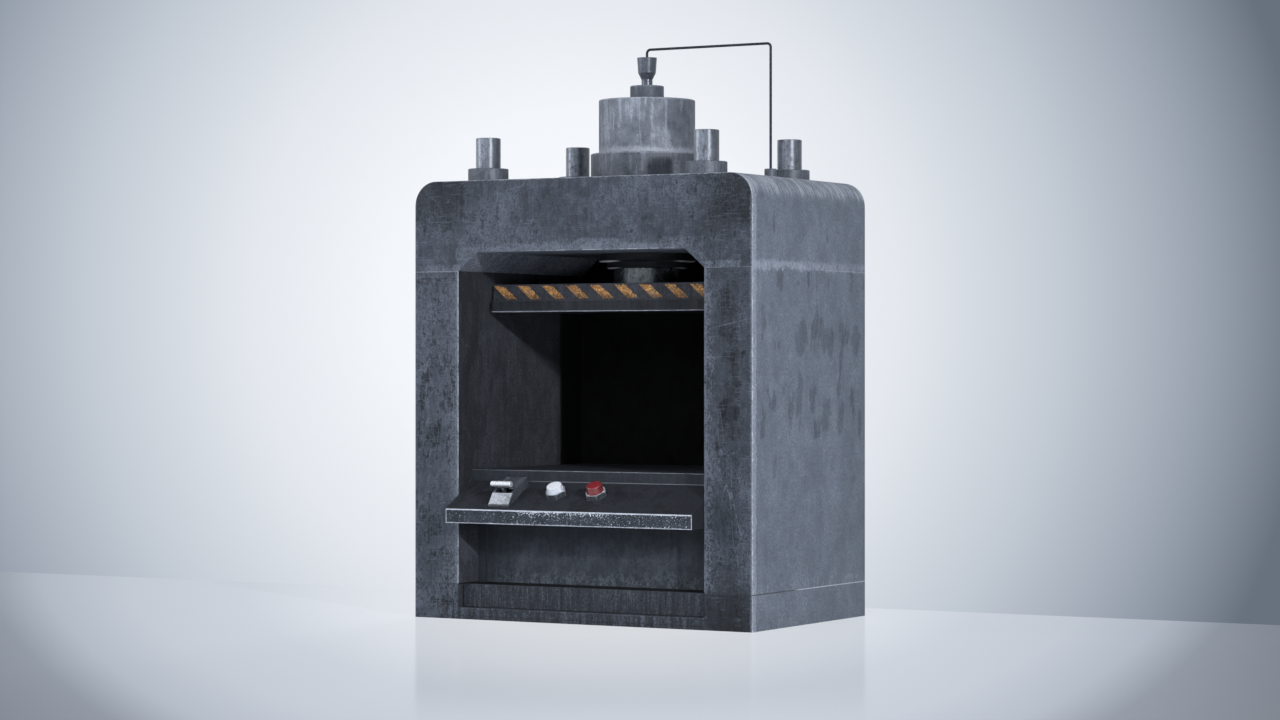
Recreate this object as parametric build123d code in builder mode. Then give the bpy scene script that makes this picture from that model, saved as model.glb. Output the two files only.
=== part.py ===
"""A floor-standing hydraulic press with a closed steel frame.

Two box-section uprights stand on a fabricated base and carry a heavy crown.
A double-acting cylinder hangs through the crown and pushes a wide platen down
towards the bed. A sloping shelf across the front holds a valve lever and two
push buttons. The power pack sits in the base behind the front panel.

Units are millimetres. The origin is on the floor, at the centre of the space
that the press takes up. X runs to the right, Y to the back and Z up.
"""

import os
from math import cos, radians, sin, tan

from build123d import *

os.makedirs("parts", exist_ok=True)

# Clearances and small edge details
seat_clearance = 0.2
running_clearance = 0.08
thread_clearance = 0.1
edge_radius = 3
seam_chamfer = 0.8
rim_chamfer = 1.5

# Frame
body_width = 900
body_depth = 566
body_height = 1023
base_height = 82
crown_height = 211
crown_thickness = 168
gusset_run = 50
shoulder_radius = 57
upright_width = 122.5
upright_wall = 20
back_plate_thickness = 10
shelf_reach = 54

front_y = (shelf_reach - body_depth) / 2
back_y = front_y + body_depth
middle_y = (front_y + back_y) / 2
opening_half = body_width / 2 - upright_width
upright_x = body_width / 2 - upright_width / 2
back_plate_y = back_y - back_plate_thickness
seam_height = body_height - crown_height
crown_underside = body_height - crown_thickness

# Base
sill_height = 27
kick_recess = 17
base_wall = 25
base_top_thickness = 20

# Tie rods inside the uprights
tie_rod_radius = 14
tie_rod_front_inset = 75
tie_rod_back_inset = 86
tie_rod_thread_depth = 80
tie_nut_width = 46
tie_nut_height = 24
tie_nut_recess = 34
tie_rod_below_nut = 4
tie_boss_radius = 40

tie_rod_front_y = front_y + tie_rod_front_inset
tie_rod_back_y = back_y - tie_rod_back_inset

# Bed
bed_top = 348
bed_thickness = 90
bed_setback = 57
bearer_width = 27
bearer_setback = 3
tooling_span_x = 400
tooling_span_y = 200
tooling_thread_radius = 7
bed_thread_depth = 40

bed_underside = bed_top - bed_thickness
bed_front_y = front_y + bed_setback
bearer_inner_x = opening_half - bearer_width

# Front panel under the shelf
panel_setback = 80
panel_thickness = 8
panel_top_gap = 22

panel_y = front_y + panel_setback

# Lifting posts on the crown, in line with the tie rods from the side
post_setback = 34.5
post_radius = 29
post_height = 102
post_spigot_radius = 20
post_spigot_depth = 60
post_eye_radius = 8.75
post_eye_depth = 30
collar_radius = 47.5
collar_height = 30

post_x = opening_half - post_setback

# Cylinder
ram_offset_y = 30
barrel_radius = 114
barrel_bore_radius = 90
barrel_rise = 195.5
barrel_head_thickness = 28
flange_radius = 133
flange_height = 68
flange_bolt_count = 8
bolt_m10_radius = 5
bolt_m10_head_radius = 8
bolt_m10_head_height = 10
flange_bolt_depth = 22
gland_thickness = 18.5
gland_spigot = 25
rod_seal_width = 6
rod_seal_height = 10
wiper_radius = 95
wiper_thickness = 16
port_block_radius = 40
port_block_height = 34
oil_port_radius = 4
passage_radius = 3

ram_y = middle_y + ram_offset_y
barrel_top = body_height + barrel_rise
flange_top = body_height + flange_height
flange_bolt_circle = (barrel_radius + flange_radius) / 2
barrel_inner_top = barrel_top - barrel_head_thickness
gland_bottom = crown_underside - gland_thickness
gland_top = crown_underside + gland_spigot
wiper_bottom = gland_bottom - wiper_thickness
port_block_top = barrel_top + port_block_height

# Ram, piston and platen
ram_radius = 78.5
piston_height = 45
piston_gap = 3
piston_nose_radius = 45
piston_seal_width = 6
piston_seal_height = 12
ram_foot_radius = 50
ram_foot_depth = 15
platen_gap = 11
platen_depth = 357
platen_thickness = 40
platen_headroom = 29
tool_plate_depth = 374
tool_plate_thickness = 25.5
ram_bolt_count = 6
ram_bolt_circle = 64
bolt_m16_radius = 8
bolt_m16_head_radius = 12
bolt_m16_head_height = 16
ram_bolt_depth = 30
bolt_m12_radius = 6
bolt_m12_head_radius = 9
bolt_m12_head_height = 12
tool_bolt_side_inset = 46.5
tool_bolt_edge_inset = 28.5
tool_bolt_depth = 20
tool_thread_depth = 20

platen_half = opening_half - platen_gap
platen_top = seam_height - platen_headroom
tool_bolt_x = platen_half - tool_bolt_side_inset
tool_bolt_y = platen_depth / 2 - tool_bolt_edge_inset
platen_bottom = platen_top - platen_thickness
tool_plate_bottom = platen_bottom - tool_plate_thickness
piston_top = barrel_inner_top - piston_gap
piston_bottom = piston_top - piston_height

# Pipework on top
neck_radius = 13
neck_height = 15
cone_height = 16
cone_radius = 21
union_top_radius = 23.5
union_height = 67
top_pipe_radius = 3
top_pipe_bore = 2
top_pipe_bend = 9
top_pipe_insert = 25
top_pipe_rise = 19
crown_port_offset = 3.5
crown_fitting_radius = 14.5
crown_fitting_height = 24.5
fitting_insert = 16

crown_port_x = opening_half + crown_port_offset
union_top = port_block_top + union_height
top_pipe_z = union_top + top_pipe_rise

# Hidden pipework in the base and the right upright
line_radius = 4
line_bore = 2.5
line_bend = 13
line_hole = line_radius + 1
line_drop = 15
extend_riser_inset = 57.5
extend_line_offset = 43
retract_riser_inset = 87.5
retract_groove_height = 80
retract_groove_width = 8
retract_groove_depth = 5
retract_port_height = 8

extend_riser_x = opening_half + extend_riser_inset
retract_riser_x = opening_half + retract_riser_inset
extend_line_y = ram_y + extend_line_offset
retract_groove_top = crown_underside + retract_groove_height
line_z = bed_underside - line_drop
retract_port_z = gland_top + retract_port_height

# Control shelf
shelf_bottom = 227
shelf_face_height = 33
shelf_angle = 29
shelf_sheet = 3
shelf_flange = 26
shelf_screw_radius = 4
shelf_screw_head_radius = 7
shelf_screw_head_height = 4
shelf_screw_depth = 20
shelf_screw_end_gap = 67.3
shelf_screw_count = 5
shelf_screw_rise = 10

shelf_half = opening_half - seat_clearance
shelf_screw_spacing = 2 * (shelf_half - shelf_screw_end_gap) / (shelf_screw_count - 1)
shelf_front_y = front_y - shelf_reach
shelf_front_top = shelf_bottom + shelf_face_height
slope_cos = cos(radians(shelf_angle))
slope_sin = sin(radians(shelf_angle))
shelf_run = bed_front_y - shelf_front_y
shelf_back_top = shelf_front_top + shelf_run * tan(radians(shelf_angle))
shelf_screw_z = shelf_back_top - shelf_flange + shelf_screw_rise

# Lever, its housing and the valve that it works
lever_end_gap = 138.8
housing_width = 54
housing_length = 100
housing_start = 11
housing_height = 22
housing_wall = 4
housing_toe = 2.5
bevel_run = 32
bevel_rise = 15.5
plate_thickness = 2.5
slot_length = 18
slot_drop = 1
rail_width = 7
rail_groove = 1.5
rail_groove_depth = 1.2
deck_drop = 0.8
stem_slot_length = 24
stem_slot_clearance = 2
stem_radius = 5
stem_insert = 3
pivot_along = 56
pivot_depth = 8
hub_radius = 7
hub_width = 16
hub_side_gap = 0.3
pin_radius = 3
lever_length = 48.2
lever_lean = 9.3
lever_arm = 20
arm_radius = 2.5
ball_radius = 4.5
grip_radius = 8
grip_length = 53
grip_round = 2
valve_start = 70
valve_length = 30
valve_half_width = 22
valve_bottom = 40
valve_port_inset = 7
ear_thickness = 6
ear_margin = 5
spool_radius = 6
spool_depth = 27.3
spool_head_length = 17
spool_head_width = 16
spool_head_rise = 4
spool_head_drop = 10
ball_socket_gap = 0.7
ball_socket_floor = 3

lever_x = lever_end_gap - shelf_half
slot_start = housing_start + bevel_run
slot_end = slot_start + slot_length
housing_end = housing_start + housing_length
lever_angle = shelf_angle + lever_lean
ball_along = pivot_along + lever_arm * sin(radians(lever_lean))

# Push buttons
button_along = 70.7
lever_to_button = 125.5
button_spacing = 107
start_cap_height = 26.5
stop_cap_height = 30
bezel_radius = 26
bezel_height = 13
bezel_web = 3
bezel_bevel = 3
cap_radius = 20
cap_top_radius = 17.5
cap_round = 3
cap_side_gap = 0.5
cap_shoulder = 6
button_stem_radius = 6
button_barrel_radius = 12
button_barrel_bore = 9.5
button_barrel_depth = 34
button_floor = 3
button_pin_radius = 2.6
button_pin_hole = 3.2
button_travel = 4
button_margin = 1
button_pin_reach = 3
contact_size = 28
contact_height = 20
contact_hole_depth = 10
spring_radius = 7.8
spring_wire_radius = 0.6
spring_turns = 8

start_button_x = lever_x + lever_to_button
stop_button_x = start_button_x + button_spacing
button_stop_gap = button_travel + button_margin
cap_rest_gap = button_stop_gap + button_margin

# Power pack
motor_setback = 118
motor_height = 70
motor_start_x = 75
motor_end_gap = 35.5
motor_radius = 55
motor_wall = 5
motor_end_wall = 12
motor_foot_width = 80
motor_foot_length = 30
motor_foot_height = 25
motor_foot_inset = 20
rotor_radius = 40
rotor_inset = 22
shaft_radius = 10
shaft_into_pump = 60
shaft_into_end = 8
shaft_end_gap = 2
pump_length = 90
pump_width = 90
pump_spigot = 4
chamber_radius = 31
chamber_offset = 3
chamber_inset = 25
chamber_length = 30
tank_wall = 4
tank_end_gap = 15.5
tank_motor_gap = 10
tank_back_gap = 15
tank_height = 140
lid_thickness = 6
suction_radius = 8
suction_drop = 20
return_line_reach = 42.5
pressure_line_reach = 58.5
retract_line_reach = 47.5
extend_line_reach = 63.5
return_entry_inset = 30
return_entry_depth = 6

motor_y = panel_y + panel_thickness + motor_setback
motor_z = base_height + motor_height
motor_end_x = bearer_inner_x - motor_end_gap
motor_length = motor_end_x - motor_start_x
tank_left_x = tank_end_gap - bearer_inner_x
tank_right_x = motor_start_x - tank_motor_gap
return_line_x = lever_x + return_line_reach
pressure_line_x = lever_x + pressure_line_reach
retract_line_x = lever_x - retract_line_reach
extend_line_x = lever_x - extend_line_reach
pump_end_x = motor_start_x - pump_length
tank_front_y = motor_y + pump_width / 2
tank_back_y = back_plate_y - tank_back_gap
return_entry_y = tank_front_y + return_entry_inset
tank_top = base_height + tank_height
chamber_x = motor_start_x - chamber_inset - chamber_length
outlet_x = chamber_x + chamber_length / 2
pump_top = motor_z + pump_width / 2
suction_z = motor_z - suction_drop


def slope_point(x, along, height):
    """Return the point a distance up the shelf's slope and above its surface."""
    return (
        x,
        shelf_front_y + along * slope_cos - height * slope_sin,
        shelf_front_top + along * slope_sin + height * slope_cos,
    )


def slope_plane(x, along, height):
    """Return a plane parallel to the shelf's slope, with its normal outwards."""
    return Plane(slope_point(x, along, height), x_dir=(1, 0, 0), z_dir=(0, -slope_sin, slope_cos))


def slope_section(x):
    """Return the plane across the slope in which profiles are (along, height)."""
    return Plane(slope_point(x, 0, 0), x_dir=(0, slope_cos, slope_sin), z_dir=(1, 0, 0))


def across(origin):
    """Return a plane at a point with its normal along X, for round pieces that lie along X."""
    return Plane(origin, x_dir=(0, 1, 0), z_dir=(1, 0, 0))


def opening_points(inset):
    """Return the outline of the press opening, from the base top to the crown, as (x, z)."""
    half = opening_half - inset
    top = crown_underside - inset
    return [
        (-half, base_height),
        (half, base_height),
        (half, seam_height),
        (half - gusset_run, top),
        (-half + gusset_run, top),
        (-half, seam_height),
    ]


tie_rod_places = [
    (side * upright_x, y) for side in (-1, 1) for y in (tie_rod_front_y, tie_rod_back_y)
]
post_places = [(side * post_x, y) for side in (-1, 1) for y in (tie_rod_front_y, tie_rod_back_y)]

# Base: a fabricated box, open below, with a kick recess across the front
with BuildPart() as base:
    with BuildSketch():
        with Locations((0, middle_y)):
            RectangleRounded(body_width, body_depth, edge_radius)
    extrude(amount=base_height)
    chamfer(base.faces().sort_by(Axis.Z)[-1].edges(), seam_chamfer)
    with BuildSketch():
        with Locations((0, middle_y)):
            Rectangle(body_width - 2 * base_wall, body_depth - 2 * (base_wall + kick_recess))
        with Locations(*tie_rod_places):
            Circle(tie_boss_radius, mode=Mode.SUBTRACT)
    extrude(amount=base_height - base_top_thickness, mode=Mode.SUBTRACT)
    with BuildSketch(Plane.XY.offset(sill_height)):
        with Locations((0, front_y)):
            Rectangle(2 * opening_half, 2 * kick_recess)
    extrude(amount=base_height - sill_height, mode=Mode.SUBTRACT)
    with BuildSketch():
        with Locations(*tie_rod_places):
            Circle(tie_rod_radius + thread_clearance)
    extrude(amount=base_height, mode=Mode.SUBTRACT)
    with BuildSketch():
        with Locations(*tie_rod_places):
            Circle(tie_boss_radius - base_wall / 4)
    extrude(amount=tie_nut_recess, mode=Mode.SUBTRACT)
base.part.label = "base"
export_step(base.part, "parts/base.step")

# Uprights: box sections with rounded corners, open at both ends
for side, upright_name in ((-1, "left_upright"), (1, "right_upright")):
    with BuildPart() as upright:
        with BuildSketch(Plane.XY.offset(base_height)):
            with Locations((side * upright_x, middle_y)):
                RectangleRounded(upright_width, body_depth, edge_radius)
                Rectangle(
                    upright_width - 2 * upright_wall,
                    body_depth - 2 * upright_wall,
                    mode=Mode.SUBTRACT,
                )
        extrude(amount=seam_height - base_height)
        chamfer(upright.faces().sort_by(Axis.Z)[-1].outer_wire().edges(), seam_chamfer)
        chamfer(upright.faces().sort_by(Axis.Z)[0].outer_wire().edges(), seam_chamfer)
        if side > 0:
            line_places = [(ram_y, line_z), (extend_line_y, line_z)]
            with BuildSketch(Plane.YZ.offset(opening_half)):
                with Locations(*line_places):
                    Circle(line_hole)
            extrude(amount=upright_wall, mode=Mode.SUBTRACT)
    upright.part.label = upright_name
    export_step(upright.part, f"parts/{upright_name}.step")

# Crown: one heavy block with rounded shoulders and a gusset in each corner of the opening
with BuildPart() as crown:
    with BuildSketch(Plane.XZ.offset(-front_y)) as crown_outline:
        with Locations((0, (seam_height + body_height) / 2)):
            Rectangle(body_width, body_height - seam_height)
        fillet(crown_outline.vertices().group_by(Axis.Y)[-1], shoulder_radius)
        with BuildLine():
            Polyline(*opening_points(0), close=True)
        make_face(mode=Mode.SUBTRACT)
    extrude(amount=-body_depth)
    crown_rim = crown.faces().sort_by(Axis.Y)[0].edges() + crown.faces().sort_by(Axis.Y)[-1].edges()
    fillet(
        [edge for edge in crown_rim if edge.center().Z > seam_height + seam_chamfer],
        edge_radius,
    )
    with BuildSketch(Plane.XY.offset(crown_underside)):
        with Locations((0, ram_y)):
            Circle(barrel_radius + running_clearance)
    extrude(amount=body_height - crown_underside, mode=Mode.SUBTRACT)
    with BuildSketch(Plane.XY.offset(seam_height)):
        with Locations(*tie_rod_places):
            Circle(tie_rod_radius + thread_clearance)
    extrude(amount=tie_rod_thread_depth, mode=Mode.SUBTRACT)
    with BuildSketch(Plane.XY.offset(body_height)):
        with Locations(*post_places):
            Circle(post_spigot_radius + thread_clearance)
    extrude(amount=-post_spigot_depth, mode=Mode.SUBTRACT)
    with BuildSketch(Plane.XY.offset(body_height)):
        with Locations((0, ram_y)):
            with PolarLocations(flange_bolt_circle, flange_bolt_count):
                Circle(bolt_m10_radius + thread_clearance)
    extrude(amount=-flange_bolt_depth, mode=Mode.SUBTRACT)
    extend_low = Vector(extend_riser_x, extend_line_y, seam_height)
    extend_high = Vector(crown_port_x, ram_y, body_height)
    extend_way = (extend_high - extend_low).normalized()
    with BuildSketch(Plane(extend_low - extend_way * line_hole, z_dir=extend_way)):
        Circle(passage_radius)
    extrude(amount=(extend_high - extend_low).length + 2 * line_hole, mode=Mode.SUBTRACT)
    retract_low = Vector(retract_riser_x, ram_y, seam_height)
    retract_high = Vector(barrel_radius, ram_y, retract_groove_top)
    retract_way = (retract_high - retract_low).normalized()
    with BuildSketch(Plane(retract_low - retract_way * 2 * line_hole, z_dir=retract_way)):
        Circle(passage_radius)
    extrude(amount=(retract_high - retract_low).length + 3 * line_hole, mode=Mode.SUBTRACT)
crown.part.label = "crown"
export_step(crown.part, "parts/crown.step")

# Back plate, welded into the back of the opening
with BuildPart() as back_plate:
    with BuildSketch(Plane.XZ.offset(-back_plate_y)):
        with BuildLine():
            Polyline(*opening_points(seat_clearance), close=True)
        make_face()
    extrude(amount=-back_plate_thickness)
back_plate.part.label = "back_plate"
export_step(back_plate.part, "parts/back_plate.step")

# Bearers: the plates on edge that carry the bed
for side, bearer_name in ((-1, "left_bearer"), (1, "right_bearer")):
    with BuildPart() as bearer:
        with BuildSketch(Plane.YZ.offset(side * opening_half)):
            with Locations(
                (
                    (panel_y + bearer_setback + back_plate_y) / 2,
                    (base_height + bed_underside) / 2,
                )
            ):
                Rectangle(
                    back_plate_y - panel_y - bearer_setback,
                    bed_underside - base_height,
                )
            if side > 0:
                with Locations((ram_y, line_z), (extend_line_y, line_z)):
                    Circle(line_hole, mode=Mode.SUBTRACT)
        extrude(amount=-side * bearer_width)
    bearer.part.label = bearer_name
    export_step(bearer.part, f"parts/{bearer_name}.step")

# Bed: a thick plate with tapped holes for tooling
with BuildPart() as bed:
    with BuildSketch(Plane.XY.offset(bed_underside)):
        with Locations((0, (bed_front_y + back_plate_y) / 2)):
            Rectangle(2 * (opening_half - seat_clearance), back_plate_y - bed_front_y)
    extrude(amount=bed_thickness)
    bed_lip = bed.faces().sort_by(Axis.Z)[-1].edges().sort_by(Axis.Y)[0]
    chamfer(bed_lip, rim_chamfer)
    with BuildSketch(Plane.XY.offset(bed_top)):
        with Locations((0, ram_y)):
            with GridLocations(tooling_span_x, tooling_span_y, 2, 2):
                Circle(tooling_thread_radius)
    extrude(amount=-bed_thread_depth, mode=Mode.SUBTRACT)
    with BuildSketch(Plane.XZ.offset(-bed_front_y)):
        with Locations((0, shelf_screw_z)):
            with GridLocations(shelf_screw_spacing, 0, shelf_screw_count, 1):
                Circle(shelf_screw_radius)
    extrude(amount=-shelf_screw_depth, mode=Mode.SUBTRACT)
bed.part.label = "bed"
export_step(bed.part, "parts/bed.step")

# Front panel between the bearers
with BuildPart() as front_panel:
    with BuildSketch(Plane.XY.offset(base_height)):
        with Locations((0, panel_y + panel_thickness / 2)):
            Rectangle(2 * (bearer_inner_x - seat_clearance), panel_thickness)
    extrude(amount=bed_underside - panel_top_gap - base_height)
    panel_rim = front_panel.faces().sort_by(Axis.Y)[0].edges()
    chamfer(panel_rim, seam_chamfer)
front_panel.part.label = "front_panel"
export_step(front_panel.part, "parts/front_panel.step")

# Tie rods that hold the crown, uprights and base together, with a nut under each
with BuildPart() as tie_rods:
    rod_bottom = tie_nut_recess - tie_nut_height - tie_rod_below_nut
    with BuildSketch(Plane.XY.offset(rod_bottom)):
        with Locations(*tie_rod_places):
            Circle(tie_rod_radius)
    extrude(amount=seam_height + tie_rod_thread_depth - rod_bottom)
tie_rods.part.label = "tie_rods"
export_step(tie_rods.part, "parts/tie_rods.step")

with BuildPart() as tie_rod_nuts:
    with BuildSketch(Plane.XY.offset(tie_nut_recess)):
        with Locations(*tie_rod_places):
            RegularPolygon(tie_nut_width / 2, 6, major_radius=False)
            Circle(tie_rod_radius + thread_clearance, mode=Mode.SUBTRACT)
    extrude(amount=-tie_nut_height)
tie_rod_nuts.part.label = "tie_rod_nuts"
export_step(tie_rod_nuts.part, "parts/tie_rod_nuts.step")

# Lifting posts screwed into the crown, each with a round collar
with BuildPart() as lifting_posts:
    with BuildSketch(Plane.XY.offset(body_height - post_spigot_depth)):
        with Locations(*post_places):
            Circle(post_spigot_radius)
    extrude(amount=post_spigot_depth)
    with BuildSketch(Plane.XY.offset(body_height)):
        with Locations(*post_places):
            Circle(post_radius)
    extrude(amount=post_height)
    chamfer(lifting_posts.faces().group_by(Axis.Z)[-1].edges(), rim_chamfer)
    with BuildSketch(Plane.XY.offset(body_height + post_height)):
        with Locations(*post_places):
            Circle(post_eye_radius)
    extrude(amount=-post_eye_depth, mode=Mode.SUBTRACT)
lifting_posts.part.label = "lifting_posts"
export_step(lifting_posts.part, "parts/lifting_posts.step")

with BuildPart() as post_collars:
    with BuildSketch(Plane.XY.offset(body_height)):
        with Locations(*post_places):
            Circle(collar_radius)
    extrude(amount=collar_height)
    chamfer(post_collars.faces().group_by(Axis.Z)[-1].edges(), rim_chamfer)
    with BuildSketch(Plane.XY.offset(body_height)):
        with Locations(*post_places):
            Circle(post_radius + running_clearance)
    extrude(amount=collar_height, mode=Mode.SUBTRACT)
post_collars.part.label = "post_collars"
export_step(post_collars.part, "parts/post_collars.step")

# Cylinder barrel: closed at the top, with an oil port and a side channel for the return stroke
with BuildPart() as cylinder_barrel:
    with BuildSketch(Plane.XY.offset(crown_underside)):
        with Locations((0, ram_y)):
            Circle(barrel_radius)
    extrude(amount=barrel_top - crown_underside)
    chamfer(cylinder_barrel.faces().sort_by(Axis.Z)[-1].edges(), rim_chamfer)
    with BuildSketch(Plane.XY.offset(crown_underside)):
        with Locations((0, ram_y)):
            Circle(barrel_bore_radius)
    extrude(amount=barrel_inner_top - crown_underside, mode=Mode.SUBTRACT)
    with BuildSketch(Plane.XY.offset(barrel_inner_top)):
        with Locations((0, ram_y)):
            Circle(oil_port_radius)
    extrude(amount=barrel_head_thickness, mode=Mode.SUBTRACT)
    with BuildSketch(Plane.XY.offset(retract_port_z - oil_port_radius)):
        with Locations((barrel_radius, ram_y)):
            Rectangle(2 * retract_groove_depth, retract_groove_width)
    extrude(amount=retract_groove_top - retract_port_z + 2 * line_hole, mode=Mode.SUBTRACT)
    with BuildSketch(across((barrel_bore_radius - line_hole, ram_y, retract_port_z))):
        Circle(oil_port_radius - thread_clearance)
    extrude(amount=barrel_radius - barrel_bore_radius, mode=Mode.SUBTRACT)
cylinder_barrel.part.label = "cylinder_barrel"
export_step(cylinder_barrel.part, "parts/cylinder_barrel.step")

# Clamp flange around the barrel, bolted down to the crown
with BuildPart() as clamp_flange:
    with BuildSketch(Plane.XY.offset(body_height)):
        with Locations((0, ram_y)):
            Circle(flange_radius)
    extrude(amount=flange_height)
    chamfer(clamp_flange.faces().sort_by(Axis.Z)[-1].edges(), rim_chamfer)
    with BuildSketch(Plane.XY.offset(body_height)):
        with Locations((0, ram_y)):
            Circle(barrel_radius + running_clearance)
            with PolarLocations(flange_bolt_circle, flange_bolt_count):
                Circle(bolt_m10_radius + thread_clearance)
    extrude(amount=flange_height, mode=Mode.SUBTRACT)
    with BuildSketch(Plane.XY.offset(flange_top)):
        with Locations((0, ram_y)):
            with PolarLocations(flange_bolt_circle, flange_bolt_count):
                Circle(bolt_m10_head_radius + seat_clearance)
    extrude(amount=-bolt_m10_head_height, mode=Mode.SUBTRACT)
clamp_flange.part.label = "clamp_flange"
export_step(clamp_flange.part, "parts/clamp_flange.step")

with BuildPart() as flange_bolts:
    with BuildSketch(Plane.XY.offset(body_height - flange_bolt_depth)):
        with Locations((0, ram_y)):
            with PolarLocations(flange_bolt_circle, flange_bolt_count):
                Circle(bolt_m10_radius)
    extrude(amount=flange_bolt_depth + flange_height - bolt_m10_head_height)
    with BuildSketch(Plane.XY.offset(flange_top - bolt_m10_head_height)):
        with Locations((0, ram_y)):
            with PolarLocations(flange_bolt_circle, flange_bolt_count):
                Circle(bolt_m10_head_radius)
    extrude(amount=bolt_m10_head_height)
    with BuildSketch(Plane.XY.offset(flange_top)):
        with Locations((0, ram_y)):
            with PolarLocations(flange_bolt_circle, flange_bolt_count):
                RegularPolygon(bolt_m10_radius, 6)
    extrude(amount=-bolt_m10_head_height / 2, mode=Mode.SUBTRACT)
flange_bolts.part.label = "flange_bolts"
export_step(flange_bolts.part, "parts/flange_bolts.step")

# Gland: closes the bottom of the barrel and guides the ram
with BuildPart() as gland:
    with BuildSketch(Plane.XY.offset(gland_bottom)):
        with Locations((0, ram_y)):
            Circle(barrel_radius)
    extrude(amount=gland_thickness)
    chamfer(gland.faces().sort_by(Axis.Z)[0].edges(), rim_chamfer)
    with BuildSketch(Plane.XY.offset(crown_underside)):
        with Locations((0, ram_y)):
            Circle(barrel_bore_radius - running_clearance)
    extrude(amount=gland_spigot)
    with BuildSketch(Plane.XY.offset(gland_bottom)):
        with Locations((0, ram_y)):
            Circle(ram_radius + running_clearance)
    extrude(amount=gland_thickness + gland_spigot, mode=Mode.SUBTRACT)
    with BuildSketch(Plane.XY.offset(crown_underside)):
        with Locations((0, ram_y)):
            Circle(ram_radius + rod_seal_width)
    extrude(amount=rod_seal_height, mode=Mode.SUBTRACT)
gland.part.label = "gland"
export_step(gland.part, "parts/gland.step")

with BuildPart() as rod_seal:
    with BuildSketch(Plane.XY.offset(crown_underside)):
        with Locations((0, ram_y)):
            Circle(ram_radius + rod_seal_width)
            Circle(ram_radius + running_clearance, mode=Mode.SUBTRACT)
    extrude(amount=rod_seal_height)
rod_seal.part.label = "rod_seal"
export_step(rod_seal.part, "parts/rod_seal.step")

# Wiper ring under the gland
with BuildPart() as wiper_ring:
    with BuildSketch(Plane.XY.offset(wiper_bottom)):
        with Locations((0, ram_y)):
            Circle(wiper_radius)
    extrude(amount=wiper_thickness)
    chamfer(wiper_ring.faces().sort_by(Axis.Z)[0].edges(), rim_chamfer)
    with BuildSketch(Plane.XY.offset(wiper_bottom)):
        with Locations((0, ram_y)):
            Circle(ram_radius + running_clearance)
    extrude(amount=wiper_thickness, mode=Mode.SUBTRACT)
wiper_ring.part.label = "wiper_ring"
export_step(wiper_ring.part, "parts/wiper_ring.step")

# Port block on the cylinder head
with BuildPart() as port_block:
    with BuildSketch(Plane.XY.offset(barrel_top)):
        with Locations((0, ram_y)):
            Circle(port_block_radius)
    extrude(amount=port_block_height)
    chamfer(port_block.faces().sort_by(Axis.Z)[-1].edges(), rim_chamfer)
    with BuildSketch(Plane.XY.offset(barrel_top)):
        with Locations((0, ram_y)):
            Circle(oil_port_radius)
    extrude(amount=port_block_height, mode=Mode.SUBTRACT)
port_block.part.label = "port_block"
export_step(port_block.part, "parts/port_block.step")

# Pipe union: a turned funnel on a neck, with the pipe coming out of its top
with BuildPart() as pipe_union:
    with BuildSketch(Plane.XZ.offset(-ram_y)):
        with BuildLine():
            Polyline(
                (oil_port_radius, port_block_top),
                (neck_radius, port_block_top),
                (neck_radius, port_block_top + neck_height),
                (cone_radius, port_block_top + neck_height + cone_height),
                (union_top_radius, union_top),
                (top_pipe_radius + running_clearance, union_top),
                (top_pipe_radius + running_clearance, union_top - top_pipe_insert),
                (oil_port_radius, union_top - top_pipe_insert - oil_port_radius),
                close=True,
            )
        make_face()
    revolve(axis=Axis((0, ram_y, 0), (0, 0, 1)))
pipe_union.part.label = "pipe_union"
export_step(pipe_union.part, "parts/pipe_union.step")


def bent_tube(points, outer_radius, inner_radius, bend):
    """Return a round tube along straight runs joined by tangent arcs."""
    first_run = Vector(points[1]) - Vector(points[0])
    with BuildPart() as tube:
        with BuildLine() as route:
            FilletPolyline(*points, radius=bend)
        with BuildSketch(Plane(points[0], z_dir=first_run)):
            Circle(outer_radius)
            Circle(inner_radius, mode=Mode.SUBTRACT)
        sweep(path=route.wires()[0])
    return tube.part


# Thin steel pipe from the union over to the crown
pressure_pipe = bent_tube(
    [
        (0, ram_y, union_top - top_pipe_insert),
        (0, ram_y, top_pipe_z),
        (crown_port_x, ram_y, top_pipe_z),
        (crown_port_x, ram_y, body_height + crown_fitting_height - fitting_insert),
    ],
    top_pipe_radius,
    top_pipe_bore,
    top_pipe_bend,
)
pressure_pipe.label = "pressure_pipe"
export_step(pressure_pipe, "parts/pressure_pipe.step")

with BuildPart() as crown_fitting:
    with BuildSketch(Plane.XY.offset(body_height)):
        with Locations((crown_port_x, ram_y)):
            Circle(crown_fitting_radius)
    extrude(amount=crown_fitting_height)
    chamfer(crown_fitting.faces().sort_by(Axis.Z)[-1].edges(), rim_chamfer)
    with BuildSketch(Plane.XY.offset(body_height)):
        with Locations((crown_port_x, ram_y)):
            Circle(oil_port_radius)
    extrude(amount=crown_fitting_height - fitting_insert, mode=Mode.SUBTRACT)
    with BuildSketch(Plane.XY.offset(body_height)):
        with Locations((crown_port_x, ram_y)):
            Circle(top_pipe_radius + running_clearance)
    extrude(amount=crown_fitting_height, mode=Mode.SUBTRACT)
crown_fitting.part.label = "crown_fitting"
export_step(crown_fitting.part, "parts/crown_fitting.step")

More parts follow.
